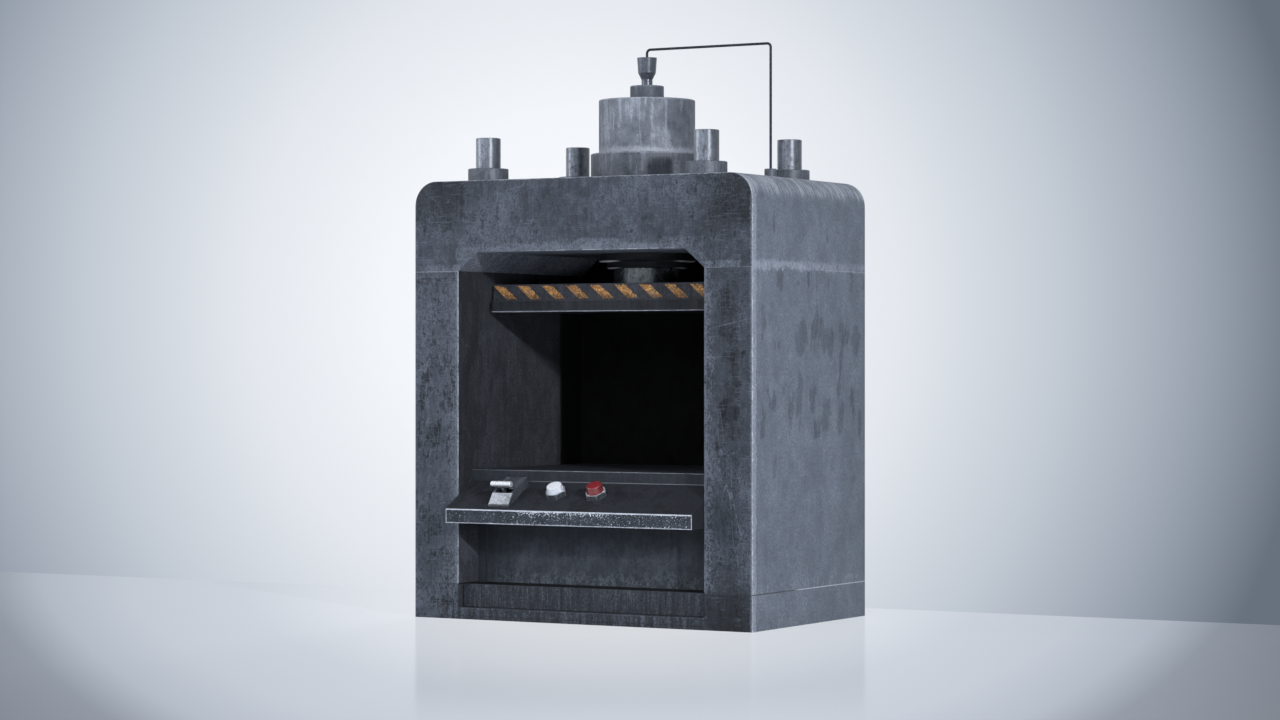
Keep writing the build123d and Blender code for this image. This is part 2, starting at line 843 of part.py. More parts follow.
# Ram: a solid rod with a register foot for the platen and a nose for the piston
with BuildPart() as ram:
    with BuildSketch(Plane.XY.offset(platen_top)):
        with Locations((0, ram_y)):
            Circle(ram_radius)
    extrude(amount=piston_bottom - platen_top)
    with BuildSketch(Plane.XY.offset(platen_top - ram_foot_depth)):
        with Locations((0, ram_y)):
            Circle(ram_foot_radius)
    extrude(amount=ram_foot_depth)
    with BuildSketch(Plane.XY.offset(piston_bottom)):
        with Locations((0, ram_y)):
            Circle(piston_nose_radius)
    extrude(amount=piston_height)
    with BuildSketch(Plane.XY.offset(platen_top)):
        with Locations((0, ram_y)):
            with PolarLocations(ram_bolt_circle, ram_bolt_count):
                Circle(bolt_m16_radius + thread_clearance)
    extrude(amount=ram_bolt_depth, mode=Mode.SUBTRACT)
ram.part.label = "ram"
export_step(ram.part, "parts/ram.step")

with BuildPart() as piston:
    with BuildSketch(Plane.XY.offset(piston_bottom)):
        with Locations((0, ram_y)):
            Circle(barrel_bore_radius - running_clearance)
            Circle(piston_nose_radius + thread_clearance, mode=Mode.SUBTRACT)
    extrude(amount=piston_height)
    seal_z = piston_bottom + (piston_height - piston_seal_height) / 2
    with BuildSketch(Plane.XY.offset(seal_z)):
        with Locations((0, ram_y)):
            Circle(barrel_radius)
            Circle(barrel_bore_radius - piston_seal_width, mode=Mode.SUBTRACT)
    extrude(amount=piston_seal_height, mode=Mode.SUBTRACT)
piston.part.label = "piston"
export_step(piston.part, "parts/piston.step")

with BuildPart() as piston_seal:
    with BuildSketch(Plane.XY.offset(seal_z)):
        with Locations((0, ram_y)):
            Circle(barrel_bore_radius - running_clearance)
            Circle(barrel_bore_radius - piston_seal_width, mode=Mode.SUBTRACT)
    extrude(amount=piston_seal_height)
piston_seal.part.label = "piston_seal"
export_step(piston_seal.part, "parts/piston_seal.step")

# Platen bolted to the ram, and the tool plate bolted under it
with BuildPart() as platen:
    with BuildSketch(Plane.XY.offset(platen_bottom)):
        with Locations((0, ram_y)):
            Rectangle(2 * platen_half, platen_depth)
    extrude(amount=platen_thickness)
    chamfer(platen.faces().sort_by(Axis.Z)[-1].edges(), rim_chamfer)
    with BuildSketch(Plane.XY.offset(platen_top)):
        with Locations((0, ram_y)):
            Circle(ram_foot_radius + thread_clearance)
    extrude(amount=-ram_foot_depth, mode=Mode.SUBTRACT)
    with BuildSketch(Plane.XY.offset(platen_bottom)):
        with Locations((0, ram_y)):
            with PolarLocations(ram_bolt_circle, ram_bolt_count):
                Circle(bolt_m16_radius + thread_clearance)
    extrude(amount=platen_thickness, mode=Mode.SUBTRACT)
    with BuildSketch(Plane.XY.offset(platen_bottom)):
        with Locations((0, ram_y)):
            with PolarLocations(ram_bolt_circle, ram_bolt_count):
                Circle(bolt_m16_head_radius + seat_clearance)
    extrude(amount=bolt_m16_head_height, mode=Mode.SUBTRACT)
    with BuildSketch(Plane.XY.offset(platen_bottom)):
        with Locations((0, ram_y)):
            with GridLocations(2 * tool_bolt_x, 2 * tool_bolt_y, 2, 2):
                Circle(bolt_m12_radius + thread_clearance)
    extrude(amount=tool_bolt_depth, mode=Mode.SUBTRACT)
platen.part.label = "platen"
export_step(platen.part, "parts/platen.step")

with BuildPart() as ram_bolts:
    with BuildSketch(Plane.XY.offset(platen_bottom)):
        with Locations((0, ram_y)):
            with PolarLocations(ram_bolt_circle, ram_bolt_count):
                Circle(bolt_m16_head_radius)
    extrude(amount=bolt_m16_head_height)
    with BuildSketch(Plane.XY.offset(platen_bottom + bolt_m16_head_height)):
        with Locations((0, ram_y)):
            with PolarLocations(ram_bolt_circle, ram_bolt_count):
                Circle(bolt_m16_radius)
    extrude(amount=platen_thickness - bolt_m16_head_height + ram_bolt_depth)
    with BuildSketch(Plane.XY.offset(platen_bottom)):
        with Locations((0, ram_y)):
            with PolarLocations(ram_bolt_circle, ram_bolt_count):
                RegularPolygon(bolt_m16_radius, 6)
    extrude(amount=bolt_m16_head_height / 2, mode=Mode.SUBTRACT)
ram_bolts.part.label = "ram_bolts"
export_step(ram_bolts.part, "parts/ram_bolts.step")

with BuildPart() as tool_plate:
    with BuildSketch(Plane.XY.offset(tool_plate_bottom)):
        with Locations((0, ram_y)):
            Rectangle(2 * platen_half, tool_plate_depth)
    extrude(amount=tool_plate_thickness)
    chamfer(tool_plate.faces().sort_by(Axis.Z)[0].edges(), rim_chamfer)
    with BuildSketch(Plane.XY.offset(tool_plate_bottom)):
        with Locations((0, ram_y)):
            with GridLocations(tooling_span_x, tooling_span_y, 2, 2):
                Circle(tooling_thread_radius)
    extrude(amount=tool_thread_depth, mode=Mode.SUBTRACT)
    with BuildSketch(Plane.XY.offset(tool_plate_bottom)):
        with Locations((0, ram_y)):
            with GridLocations(2 * tool_bolt_x, 2 * tool_bolt_y, 2, 2):
                Circle(bolt_m12_radius + thread_clearance)
    extrude(amount=tool_plate_thickness, mode=Mode.SUBTRACT)
    with BuildSketch(Plane.XY.offset(tool_plate_bottom)):
        with Locations((0, ram_y)):
            with GridLocations(2 * tool_bolt_x, 2 * tool_bolt_y, 2, 2):
                Circle(bolt_m12_head_radius + seat_clearance)
    extrude(amount=bolt_m12_head_height, mode=Mode.SUBTRACT)
tool_plate.part.label = "tool_plate"
export_step(tool_plate.part, "parts/tool_plate.step")

with BuildPart() as tool_plate_bolts:
    with BuildSketch(Plane.XY.offset(tool_plate_bottom)):
        with Locations((0, ram_y)):
            with GridLocations(2 * tool_bolt_x, 2 * tool_bolt_y, 2, 2):
                Circle(bolt_m12_head_radius)
    extrude(amount=bolt_m12_head_height)
    with BuildSketch(Plane.XY.offset(tool_plate_bottom + bolt_m12_head_height)):
        with Locations((0, ram_y)):
            with GridLocations(2 * tool_bolt_x, 2 * tool_bolt_y, 2, 2):
                Circle(bolt_m12_radius)
    extrude(amount=tool_plate_thickness - bolt_m12_head_height + tool_bolt_depth)
    with BuildSketch(Plane.XY.offset(tool_plate_bottom)):
        with Locations((0, ram_y)):
            with GridLocations(2 * tool_bolt_x, 2 * tool_bolt_y, 2, 2):
                RegularPolygon(bolt_m12_radius, 6)
    extrude(amount=bolt_m12_head_height / 2, mode=Mode.SUBTRACT)
tool_plate_bolts.part.label = "tool_plate_bolts"
export_step(tool_plate_bolts.part, "parts/tool_plate_bolts.step")

# Control shelf: a folded sheet wedge with closed ends and a flange against the bed
with BuildPart() as control_shelf:
    with BuildSketch(Plane.YZ):
        with BuildLine():
            Polyline(
                (shelf_front_y, shelf_bottom),
                (shelf_front_y, shelf_front_top),
                (bed_front_y, shelf_back_top),
                (bed_front_y, shelf_bottom),
                close=True,
            )
        make_face()
    extrude(amount=shelf_half, both=True)
    slope_sheet = shelf_sheet / slope_cos
    nose_drop = shelf_sheet * tan(radians(shelf_angle))
    with BuildSketch(Plane.YZ):
        with BuildLine():
            Polyline(
                (shelf_front_y + shelf_sheet, shelf_bottom),
                (shelf_front_y + shelf_sheet, shelf_front_top - slope_sheet + nose_drop),
                (bed_front_y - shelf_sheet, shelf_back_top - slope_sheet - nose_drop),
                (bed_front_y - shelf_sheet, shelf_back_top - shelf_flange),
                (bed_front_y, shelf_back_top - shelf_flange),
                (bed_front_y, shelf_bottom),
                close=True,
            )
        make_face()
    extrude(amount=shelf_half - shelf_sheet, both=True, mode=Mode.SUBTRACT)
    with BuildSketch(slope_plane(lever_x, pivot_along, 0)):
        Rectangle(hub_width + 2 * stem_slot_clearance, stem_slot_length)
    extrude(amount=-2 * shelf_sheet, mode=Mode.SUBTRACT)
    for button_x in (start_button_x, stop_button_x):
        with BuildSketch(slope_plane(button_x, button_along, 0)):
            Circle(button_barrel_radius + thread_clearance)
        extrude(amount=-2 * shelf_sheet, mode=Mode.SUBTRACT)
    with BuildSketch(Plane.XZ.offset(-bed_front_y)):
        with Locations((0, shelf_screw_z)):
            with GridLocations(shelf_screw_spacing, 0, shelf_screw_count, 1):
                Circle(shelf_screw_radius + thread_clearance)
    extrude(amount=shelf_sheet, mode=Mode.SUBTRACT)
control_shelf.part.label = "control_shelf"
export_step(control_shelf.part, "parts/control_shelf.step")

with BuildPart() as shelf_floor:
    floor_depth = panel_y - shelf_front_y - shelf_sheet - 2 * seat_clearance
    with BuildSketch(Plane.XY.offset(shelf_bottom)):
        with Locations((0, panel_y - seat_clearance - floor_depth / 2)):
            Rectangle(2 * (shelf_half - shelf_sheet - seat_clearance), floor_depth)
    extrude(amount=shelf_sheet)
shelf_floor.part.label = "shelf_floor"
export_step(shelf_floor.part, "parts/shelf_floor.step")

with BuildPart() as shelf_screws:
    with BuildSketch(Plane.XZ.offset(-bed_front_y - shelf_screw_depth)):
        with Locations((0, shelf_screw_z)):
            with GridLocations(shelf_screw_spacing, 0, shelf_screw_count, 1):
                Circle(shelf_screw_radius)
    extrude(amount=shelf_screw_depth + shelf_sheet)
    with BuildSketch(Plane.XZ.offset(-bed_front_y + shelf_sheet)):
        with Locations((0, shelf_screw_z)):
            with GridLocations(shelf_screw_spacing, 0, shelf_screw_count, 1):
                Circle(shelf_screw_head_radius)
    extrude(amount=shelf_screw_head_height)
shelf_screws.part.label = "shelf_screws"
export_step(shelf_screws.part, "parts/shelf_screws.step")

# Lever housing: an open-bottomed box on the slope, with a slot for the lever
with BuildPart() as lever_housing:
    with BuildSketch(slope_section(lever_x)):
        with BuildLine():
            Polyline(
                (housing_start, 0),
                (housing_start, housing_toe),
                (slot_start, housing_toe + bevel_rise),
                (slot_start, housing_height - slot_drop),
                (slot_end, housing_height),
                (housing_end, housing_height),
                (housing_end, 0),
                close=True,
            )
        make_face()
    extrude(amount=housing_width / 2, both=True)
    with BuildSketch(slope_section(lever_x)):
        with BuildLine():
            Polyline(
                (slot_start - bevel_run / 2, 0),
                (slot_start, housing_toe + bevel_rise - housing_wall),
                (slot_end, housing_height - housing_wall),
                (housing_end - housing_wall, housing_height - housing_wall),
                (housing_end - housing_wall, 0),
                close=True,
            )
        make_face()
    extrude(amount=housing_width / 2 - housing_wall, both=True, mode=Mode.SUBTRACT)
    with BuildSketch(slope_plane(lever_x, (slot_start + slot_end) / 2, housing_height)):
        Rectangle(housing_width - 2 * housing_wall, slot_length)
    extrude(amount=-2 * housing_wall, mode=Mode.SUBTRACT)
    with BuildSketch(slope_plane(lever_x, slot_end + stem_slot_length / 2, housing_height)):
        Rectangle(2 * (stem_radius + stem_slot_clearance), stem_slot_length)
    extrude(amount=-2 * housing_wall, mode=Mode.SUBTRACT)
    deck_length = housing_end - slot_end
    deck_width = housing_width - 2 * rail_width
    with BuildSketch(slope_plane(lever_x, (slot_end + housing_end) / 2, housing_height)):
        Rectangle(deck_width, deck_length)
    extrude(amount=-deck_drop, mode=Mode.SUBTRACT)
    with BuildSketch(slope_plane(lever_x, (slot_end + housing_end) / 2, housing_height)):
        with GridLocations(deck_width - rail_groove, 0, 2, 1):
            Rectangle(rail_groove, deck_length)
    extrude(amount=-deck_drop - rail_groove_depth, mode=Mode.SUBTRACT)
lever_housing.part.label = "lever_housing"
export_step(lever_housing.part, "parts/lever_housing.step")

# Pale wear plate on the bevel of the housing
with BuildPart() as lever_front_plate:
    with BuildSketch(slope_section(lever_x)):
        bevel_length = Vector(bevel_run, bevel_rise).length
        lift_along = -plate_thickness * bevel_rise / bevel_length
        lift_up = plate_thickness * bevel_run / bevel_length
        with BuildLine():
            Polyline(
                (housing_start, housing_toe),
                (slot_start, housing_toe + bevel_rise),
                (slot_start + lift_along, housing_toe + bevel_rise + lift_up),
                (housing_start + lift_along, housing_toe + lift_up),
                close=True,
            )
        make_face()
    extrude(amount=housing_width / 2, both=True)
lever_front_plate.part.label = "lever_front_plate"
export_step(lever_front_plate.part, "parts/lever_front_plate.step")

# Lever: a stem on a hub, with an arm and ball below that move the valve spool
pivot_point = slope_point(lever_x, pivot_along, -pivot_depth)
lever_plane = Plane(
    pivot_point,
    x_dir=(1, 0, 0),
    z_dir=(0, -sin(radians(lever_angle)), cos(radians(lever_angle))),
)
with BuildPart() as lever_stem:
    with BuildSketch(lever_plane):
        Circle(stem_radius)
    extrude(amount=lever_length + stem_insert)
    with BuildSketch(lever_plane):
        Circle(arm_radius)
    extrude(amount=-lever_arm)
    with Locations(lever_plane.offset(-lever_arm)):
        Sphere(ball_radius)
    with BuildSketch(across(pivot_point)):
        Circle(hub_radius)
    extrude(amount=hub_width / 2, both=True)
    with BuildSketch(across(pivot_point)):
        Circle(pin_radius + running_clearance)
    extrude(amount=hub_width / 2, both=True, mode=Mode.SUBTRACT)
lever_stem.part.label = "lever_stem"
export_step(lever_stem.part, "parts/lever_stem.step")

with BuildPart() as lever_grip:
    with BuildSketch(across(lever_plane.offset(lever_length).origin)):
        Circle(grip_radius)
    extrude(amount=grip_length / 2, both=True)
    fillet(lever_grip.edges().filter_by(GeomType.CIRCLE), grip_round)
    with BuildSketch(lever_plane.offset(lever_length + stem_insert)):
        Circle(stem_radius + thread_clearance)
    extrude(amount=-stem_insert - grip_radius, mode=Mode.SUBTRACT)
lever_grip.part.label = "lever_grip"
export_step(lever_grip.part, "parts/lever_grip.step")

with BuildPart() as lever_pin:
    with BuildSketch(across(pivot_point)):
        Circle(pin_radius)
    extrude(amount=hub_width / 2 + hub_side_gap + ear_thickness, both=True)
lever_pin.part.label = "lever_pin"
export_step(lever_pin.part, "parts/lever_pin.step")

# Valve under the lever: a body with two ears for the pin, and a sliding spool
valve_ports = [
    (valve_start + valve_port_inset, -spool_depth),
    (valve_start + valve_length - valve_port_inset, -spool_depth),
]
spool_start = slope_point(lever_x, valve_start, -spool_depth)
spool_plane = Plane(spool_start, x_dir=(1, 0, 0), z_dir=(0, slope_cos, slope_sin))
with BuildPart() as valve_body:
    with BuildSketch(slope_section(lever_x)):
        with Locations((valve_start + valve_length / 2, -(valve_bottom + shelf_sheet) / 2)):
            Rectangle(valve_length, valve_bottom - shelf_sheet)
    extrude(amount=valve_half_width, both=True)
    ear_start = pivot_along - pin_radius - ear_margin
    ear_bottom = pivot_depth + pin_radius + ear_margin
    for side in (-1, 1):
        with BuildSketch(slope_section(lever_x + side * (hub_width / 2 + hub_side_gap))):
            with Locations(((ear_start + valve_start) / 2, -(ear_bottom + shelf_sheet) / 2)):
                Rectangle(valve_start - ear_start, ear_bottom - shelf_sheet)
        extrude(amount=side * ear_thickness)
    with BuildSketch(slope_section(lever_x)):
        with Locations((pivot_along, -pivot_depth)):
            Circle(pin_radius + running_clearance)
    extrude(amount=valve_half_width, both=True, mode=Mode.SUBTRACT)
    with BuildSketch(spool_plane):
        Circle(spool_radius + running_clearance)
    extrude(amount=valve_length, mode=Mode.SUBTRACT)
    with BuildSketch(slope_section(lever_x)):
        with Locations(*valve_ports):
            Circle(line_bore)
    extrude(amount=valve_half_width, both=True, mode=Mode.SUBTRACT)
valve_body.part.label = "valve_body"
export_step(valve_body.part, "parts/valve_body.step")

with BuildPart() as valve_spool:
    with BuildSketch(slope_section(lever_x)):
        with Locations((ball_along, -spool_depth + (spool_head_rise - spool_head_drop) / 2)):
            Rectangle(spool_head_length, spool_head_rise + spool_head_drop)
    extrude(amount=spool_head_width / 2, both=True)
    socket_width = 2 * (ball_radius + ball_socket_gap)
    with BuildSketch(slope_plane(lever_x, ball_along, spool_head_rise - spool_depth)):
        Rectangle(socket_width, socket_width)
    extrude(amount=-spool_head_rise - spool_head_drop + ball_socket_floor, mode=Mode.SUBTRACT)
    spool_link = valve_start - ball_along - spool_head_length / 2
    with BuildSketch(spool_plane.offset(-spool_link)):
        Circle(spool_radius)
    extrude(amount=spool_link + valve_length)
valve_spool.part.label = "valve_spool"
export_step(valve_spool.part, "parts/valve_spool.step")


def push_button(name, x, cap_height):
    """Make one push button: cap, hexagonal bezel, barrel, return spring and contact block."""
    slope_normal = (0, -slope_sin, slope_cos)
    cap_bottom = bezel_web + cap_rest_gap
    barrel_floor_top = button_floor - button_barrel_depth
    stem_bottom = barrel_floor_top + button_stop_gap

    with BuildPart() as bezel:
        with BuildSketch(slope_plane(x, button_along, 0)):
            RegularPolygon(bezel_radius, 6)
        extrude(amount=bezel_height)
        with Locations(slope_plane(x, button_along, bezel_height / 2)):
            Cone(
                bezel_radius + bezel_height - bezel_bevel,
                bezel_radius - bezel_bevel,
                bezel_height,
                mode=Mode.INTERSECT,
            )
        with BuildSketch(slope_plane(x, button_along, bezel_web)):
            Circle(cap_radius + cap_side_gap)
        extrude(amount=bezel_height - bezel_web, mode=Mode.SUBTRACT)
        with BuildSketch(slope_plane(x, button_along, 0)):
            Circle(button_barrel_radius + thread_clearance)
        extrude(amount=bezel_web, mode=Mode.SUBTRACT)
    bezel.part.label = f"{name}_bezel"
    export_step(bezel.part, f"parts/{name}_bezel.step")

    with BuildPart() as barrel:
        with BuildSketch(slope_plane(x, button_along, -button_barrel_depth)):
            Circle(button_barrel_radius)
        extrude(amount=button_barrel_depth + bezel_web)
        with BuildSketch(slope_plane(x, button_along, barrel_floor_top)):
            Circle(button_barrel_bore)
        extrude(amount=button_barrel_depth + bezel_web, mode=Mode.SUBTRACT)
        with BuildSketch(slope_plane(x, button_along, -button_barrel_depth)):
            Circle(button_pin_hole)
        extrude(amount=button_floor, mode=Mode.SUBTRACT)
    barrel.part.label = f"{name}_barrel"
    export_step(barrel.part, f"parts/{name}_barrel.step")

    with BuildPart() as cap:
        with BuildSketch(slope_section(x)):
            with BuildLine():
                Polyline(
                    (button_along, cap_bottom),
                    (button_along + cap_radius, cap_bottom),
                    (button_along + cap_radius, cap_bottom + cap_shoulder),
                    (button_along + cap_top_radius, cap_height),
                    (button_along, cap_height),
                    close=True,
                )
            make_face()
        revolve(axis=Axis(slope_point(x, button_along, 0), slope_normal))
        top_edge = cap.edges().filter_by(GeomType.CIRCLE).sort_by(Axis((0, 0, 0), slope_normal))[-1]
        fillet(top_edge, cap_round)
        with BuildSketch(slope_plane(x, button_along, stem_bottom)):
            Circle(button_stem_radius)
        extrude(amount=cap_bottom - stem_bottom)
        with BuildSketch(slope_plane(x, button_along, stem_bottom)):
            Circle(button_pin_radius)
        extrude(amount=-(button_stop_gap + button_floor + button_pin_reach))
    cap.part.label = f"{name}_cap"
    export_step(cap.part, f"parts/{name}_cap.step")

    with BuildPart() as spring:
        spring_length = cap_bottom - barrel_floor_top - 2 * spring_wire_radius
        with BuildLine() as coil:
            Helix(
                pitch=spring_length / spring_turns,
                height=spring_length,
                radius=spring_radius,
                center=slope_point(x, button_along, barrel_floor_top + spring_wire_radius),
                direction=slope_normal,
            )
        with BuildSketch(Plane(coil.line @ 0, z_dir=coil.line % 0)):
            Circle(spring_wire_radius)
        sweep(path=coil.line, is_frenet=True)
    spring.part.label = f"{name}_spring"
    export_step(spring.part, f"parts/{name}_spring.step")

    with BuildPart() as contact:
        with BuildSketch(slope_plane(x, button_along, -button_barrel_depth)):
            Rectangle(contact_size, contact_size)
        extrude(amount=-contact_height)
        with BuildSketch(slope_plane(x, button_along, -button_barrel_depth)):
            Circle(button_pin_hole)
        extrude(amount=-contact_hole_depth, mode=Mode.SUBTRACT)
    contact.part.label = f"{name}_contact_block"
    export_step(contact.part, f"parts/{name}_contact_block.step")


push_button("start_button", start_button_x, start_cap_height)
push_button("stop_button", stop_button_x, stop_cap_height)

# Power pack: an oil tank, and a motor with the pump on its end
with BuildPart() as oil_tank:
    tank_middle = ((tank_left_x + tank_right_x) / 2, (tank_front_y + tank_back_y) / 2)
    tank_length = tank_right_x - tank_left_x
    tank_depth = tank_back_y - tank_front_y
    with BuildSketch(Plane.XY.offset(base_height)):
        with Locations(tank_middle):
            Rectangle(tank_length, tank_depth)
    extrude(amount=tank_height)
    with BuildSketch(Plane.XY.offset(base_height + tank_wall)):
        with Locations(tank_middle):
            Rectangle(tank_length - 2 * tank_wall, tank_depth - 2 * tank_wall)
    extrude(amount=tank_height, mode=Mode.SUBTRACT)
    with BuildSketch(Plane.XZ.offset(-tank_front_y)):
        with Locations((outlet_x, suction_z)):
            Circle(suction_radius)
    extrude(amount=-tank_wall, mode=Mode.SUBTRACT)
oil_tank.part.label = "oil_tank"
export_step(oil_tank.part, "parts/oil_tank.step")

with BuildPart() as tank_lid:
    with BuildSketch(Plane.XY.offset(tank_top)):
        with Locations(tank_middle):
            Rectangle(tank_length, tank_depth)
        with Locations((return_line_x, return_entry_y)):
            Circle(line_radius + running_clearance, mode=Mode.SUBTRACT)
    extrude(amount=lid_thickness)
tank_lid.part.label = "tank_lid"
export_step(tank_lid.part, "parts/tank_lid.step")

with BuildPart() as motor_casing:
    with BuildSketch(across((motor_start_x, motor_y, motor_z))):
        Circle(motor_radius)
    extrude(amount=motor_length)
    foot_middle = (motor_start_x + motor_end_x) / 2
    foot_span = motor_length - motor_foot_length - 2 * motor_foot_inset
    with BuildSketch(Plane.XY.offset(base_height)):
        with Locations((foot_middle, motor_y)):
            with GridLocations(foot_span, 0, 2, 1):
                Rectangle(motor_foot_length, motor_foot_width)
    extrude(amount=motor_foot_height)
    with BuildSketch(across((motor_start_x, motor_y, motor_z))):
        Circle(motor_radius - motor_wall)
    extrude(amount=motor_length - motor_end_wall, mode=Mode.SUBTRACT)
    with BuildSketch(across((motor_end_x - motor_end_wall, motor_y, motor_z))):
        Circle(shaft_radius + running_clearance)
    extrude(amount=shaft_into_end + shaft_end_gap, mode=Mode.SUBTRACT)
motor_casing.part.label = "motor_casing"
export_step(motor_casing.part, "parts/motor_casing.step")

with BuildPart() as motor_rotor:
    with BuildSketch(across((motor_start_x - shaft_into_pump, motor_y, motor_z))):
        Circle(shaft_radius)
    extrude(amount=shaft_into_pump + motor_length - motor_end_wall + shaft_into_end)
    with BuildSketch(across((motor_start_x + rotor_inset, motor_y, motor_z))):
        Circle(rotor_radius)
    extrude(amount=motor_length - motor_end_wall - 2 * rotor_inset)
motor_rotor.part.label = "motor_rotor"
export_step(motor_rotor.part, "parts/motor_rotor.step")

with BuildPart() as pump_body:
    with BuildSketch(across((pump_end_x, motor_y, motor_z))):
        Rectangle(pump_width, pump_width)
    extrude(amount=pump_length)
    with BuildSketch(across((motor_start_x, motor_y, motor_z))):
        Circle(motor_radius - motor_wall - running_clearance)
    extrude(amount=pump_spigot)
    shaft_bore_x = motor_start_x - shaft_into_pump - shaft_end_gap
    with BuildSketch(across((shaft_bore_x, motor_y, motor_z))):
        Circle(shaft_radius + running_clearance)
    extrude(amount=motor_start_x + pump_spigot - shaft_bore_x, mode=Mode.SUBTRACT)
    with BuildSketch(across((chamber_x, motor_y, motor_z + chamber_offset))):
        Circle(chamber_radius)
    extrude(amount=chamber_length, mode=Mode.SUBTRACT)
    with BuildSketch(Plane.XY.offset(pump_top)):
        with Locations((outlet_x, motor_y)):
            Circle(line_bore)
    extrude(amount=-pump_width / 2, mode=Mode.SUBTRACT)
    with BuildSketch(Plane.XZ.offset(-tank_front_y)):
        with Locations((outlet_x, suction_z)):
            Circle(suction_radius)
    extrude(amount=pump_width / 2, mode=Mode.SUBTRACT)
pump_body.part.label = "pump_body"
export_step(pump_body.part, "parts/pump_body.step")

with BuildPart() as pump_rotor:
    with BuildSketch(across((chamber_x + running_clearance, motor_y, motor_z))):
        Circle(chamber_radius - chamber_offset - running_clearance)
        Circle(shaft_radius, mode=Mode.SUBTRACT)
    extrude(amount=chamber_length - 2 * running_clearance)
pump_rotor.part.label = "pump_rotor"
export_step(pump_rotor.part, "parts/pump_rotor.step")

# Oil lines: from the pump to the valve and back to the tank, and up to both ends of the cylinder
valve_side_right = lever_x + valve_half_width
valve_side_left = lever_x - valve_half_width
low_port_y, low_port_z = slope_point(lever_x, *valve_ports[0])[1:]
high_port_y, high_port_z = slope_point(lever_x, *valve_ports[1])[1:]
line_routes = {
    "pressure_line": [
        (valve_side_right, high_port_y, high_port_z),
        (pressure_line_x, high_port_y, high_port_z),
        (pressure_line_x, high_port_y, line_z),
        (pressure_line_x, motor_y, line_z),
        (outlet_x, motor_y, line_z),
        (outlet_x, motor_y, pump_top),
    ],
    "return_line": [
        (valve_side_right, low_port_y, low_port_z),
        (return_line_x, low_port_y, low_port_z),
        (return_line_x, low_port_y, line_z),
        (return_line_x, return_entry_y, line_z),
        (return_line_x, return_entry_y, tank_top - return_entry_depth),
    ],
    "extend_line": [
        (valve_side_left, low_port_y, low_port_z),
        (extend_line_x, low_port_y, low_port_z),
        (extend_line_x, low_port_y, line_z),
        (extend_line_x, extend_line_y, line_z),
        (extend_riser_x, extend_line_y, line_z),
        (extend_riser_x, extend_line_y, seam_height),
    ],
    "retract_line": [
        (valve_side_left, high_port_y, high_port_z),
        (retract_line_x, high_port_y, high_port_z),
        (retract_line_x, high_port_y, line_z),
        (retract_line_x, ram_y, line_z),
        (retract_riser_x, ram_y, line_z),
        (retract_riser_x, ram_y, seam_height),
    ],
}
for line_name, line_points in line_routes.items():
    oil_line = bent_tube(line_points, line_radius, line_bore, line_bend)
    oil_line.label = line_name
    export_step(oil_line, f"parts/{line_name}.step")
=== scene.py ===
"""A hydraulic press in its finishes: worn grey paint, bare steel and a worn hazard edge.

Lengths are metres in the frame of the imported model, with X across the front, Y to the
back and Z up. Colours are written as they look on a screen, from 0 to 255. A finish's
bare numbers from 0 to 1 are shares: how much of a pattern or a colour it takes. Those in
rise, fall and near are metres for a place, and strengths for a pattern.
"""

import logging
import math
from dataclasses import dataclass
from enum import Enum
from functools import cached_property, reduce
from typing import Union

import bmesh
import bpy
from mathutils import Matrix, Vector


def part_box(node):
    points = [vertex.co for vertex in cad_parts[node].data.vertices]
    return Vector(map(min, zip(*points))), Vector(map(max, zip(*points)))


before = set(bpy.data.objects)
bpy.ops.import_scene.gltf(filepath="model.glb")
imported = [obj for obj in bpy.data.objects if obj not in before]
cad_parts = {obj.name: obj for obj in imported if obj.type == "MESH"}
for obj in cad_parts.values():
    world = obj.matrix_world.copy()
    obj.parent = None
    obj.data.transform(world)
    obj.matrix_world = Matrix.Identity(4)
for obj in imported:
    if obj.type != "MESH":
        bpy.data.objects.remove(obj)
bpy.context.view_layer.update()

log = logging.getLogger("press")

Shade = tuple[float, float, float]
Tint = tuple[float, float, float, float]
Stops = tuple[tuple[float, Shade], ...]
Bands = tuple[tuple[float, float, float, float], ...]
Value = Union[float, "Wire", "bpy.types.NodeSocket"]

NOISE_GAIN = 10.0
VIEW_TURN = 30.185


def tint(shade: Shade) -> Tint:
    """Return a screen colour as the linear colour that a socket takes.

    Args:
        shade: red, green and blue, each from 0 to 255.

    Returns:
        Linear red, green, blue and an alpha of 1.
    """

    def linear(part: float) -> float:
        """Return one part of the colour as linear light."""
        share = part / 255
        return share / 12.92 if share <= 0.04045 else ((share + 0.055) / 1.055) ** 2.4

    red, green, blue = shade
    return (linear(red), linear(green), linear(blue), 1.0)


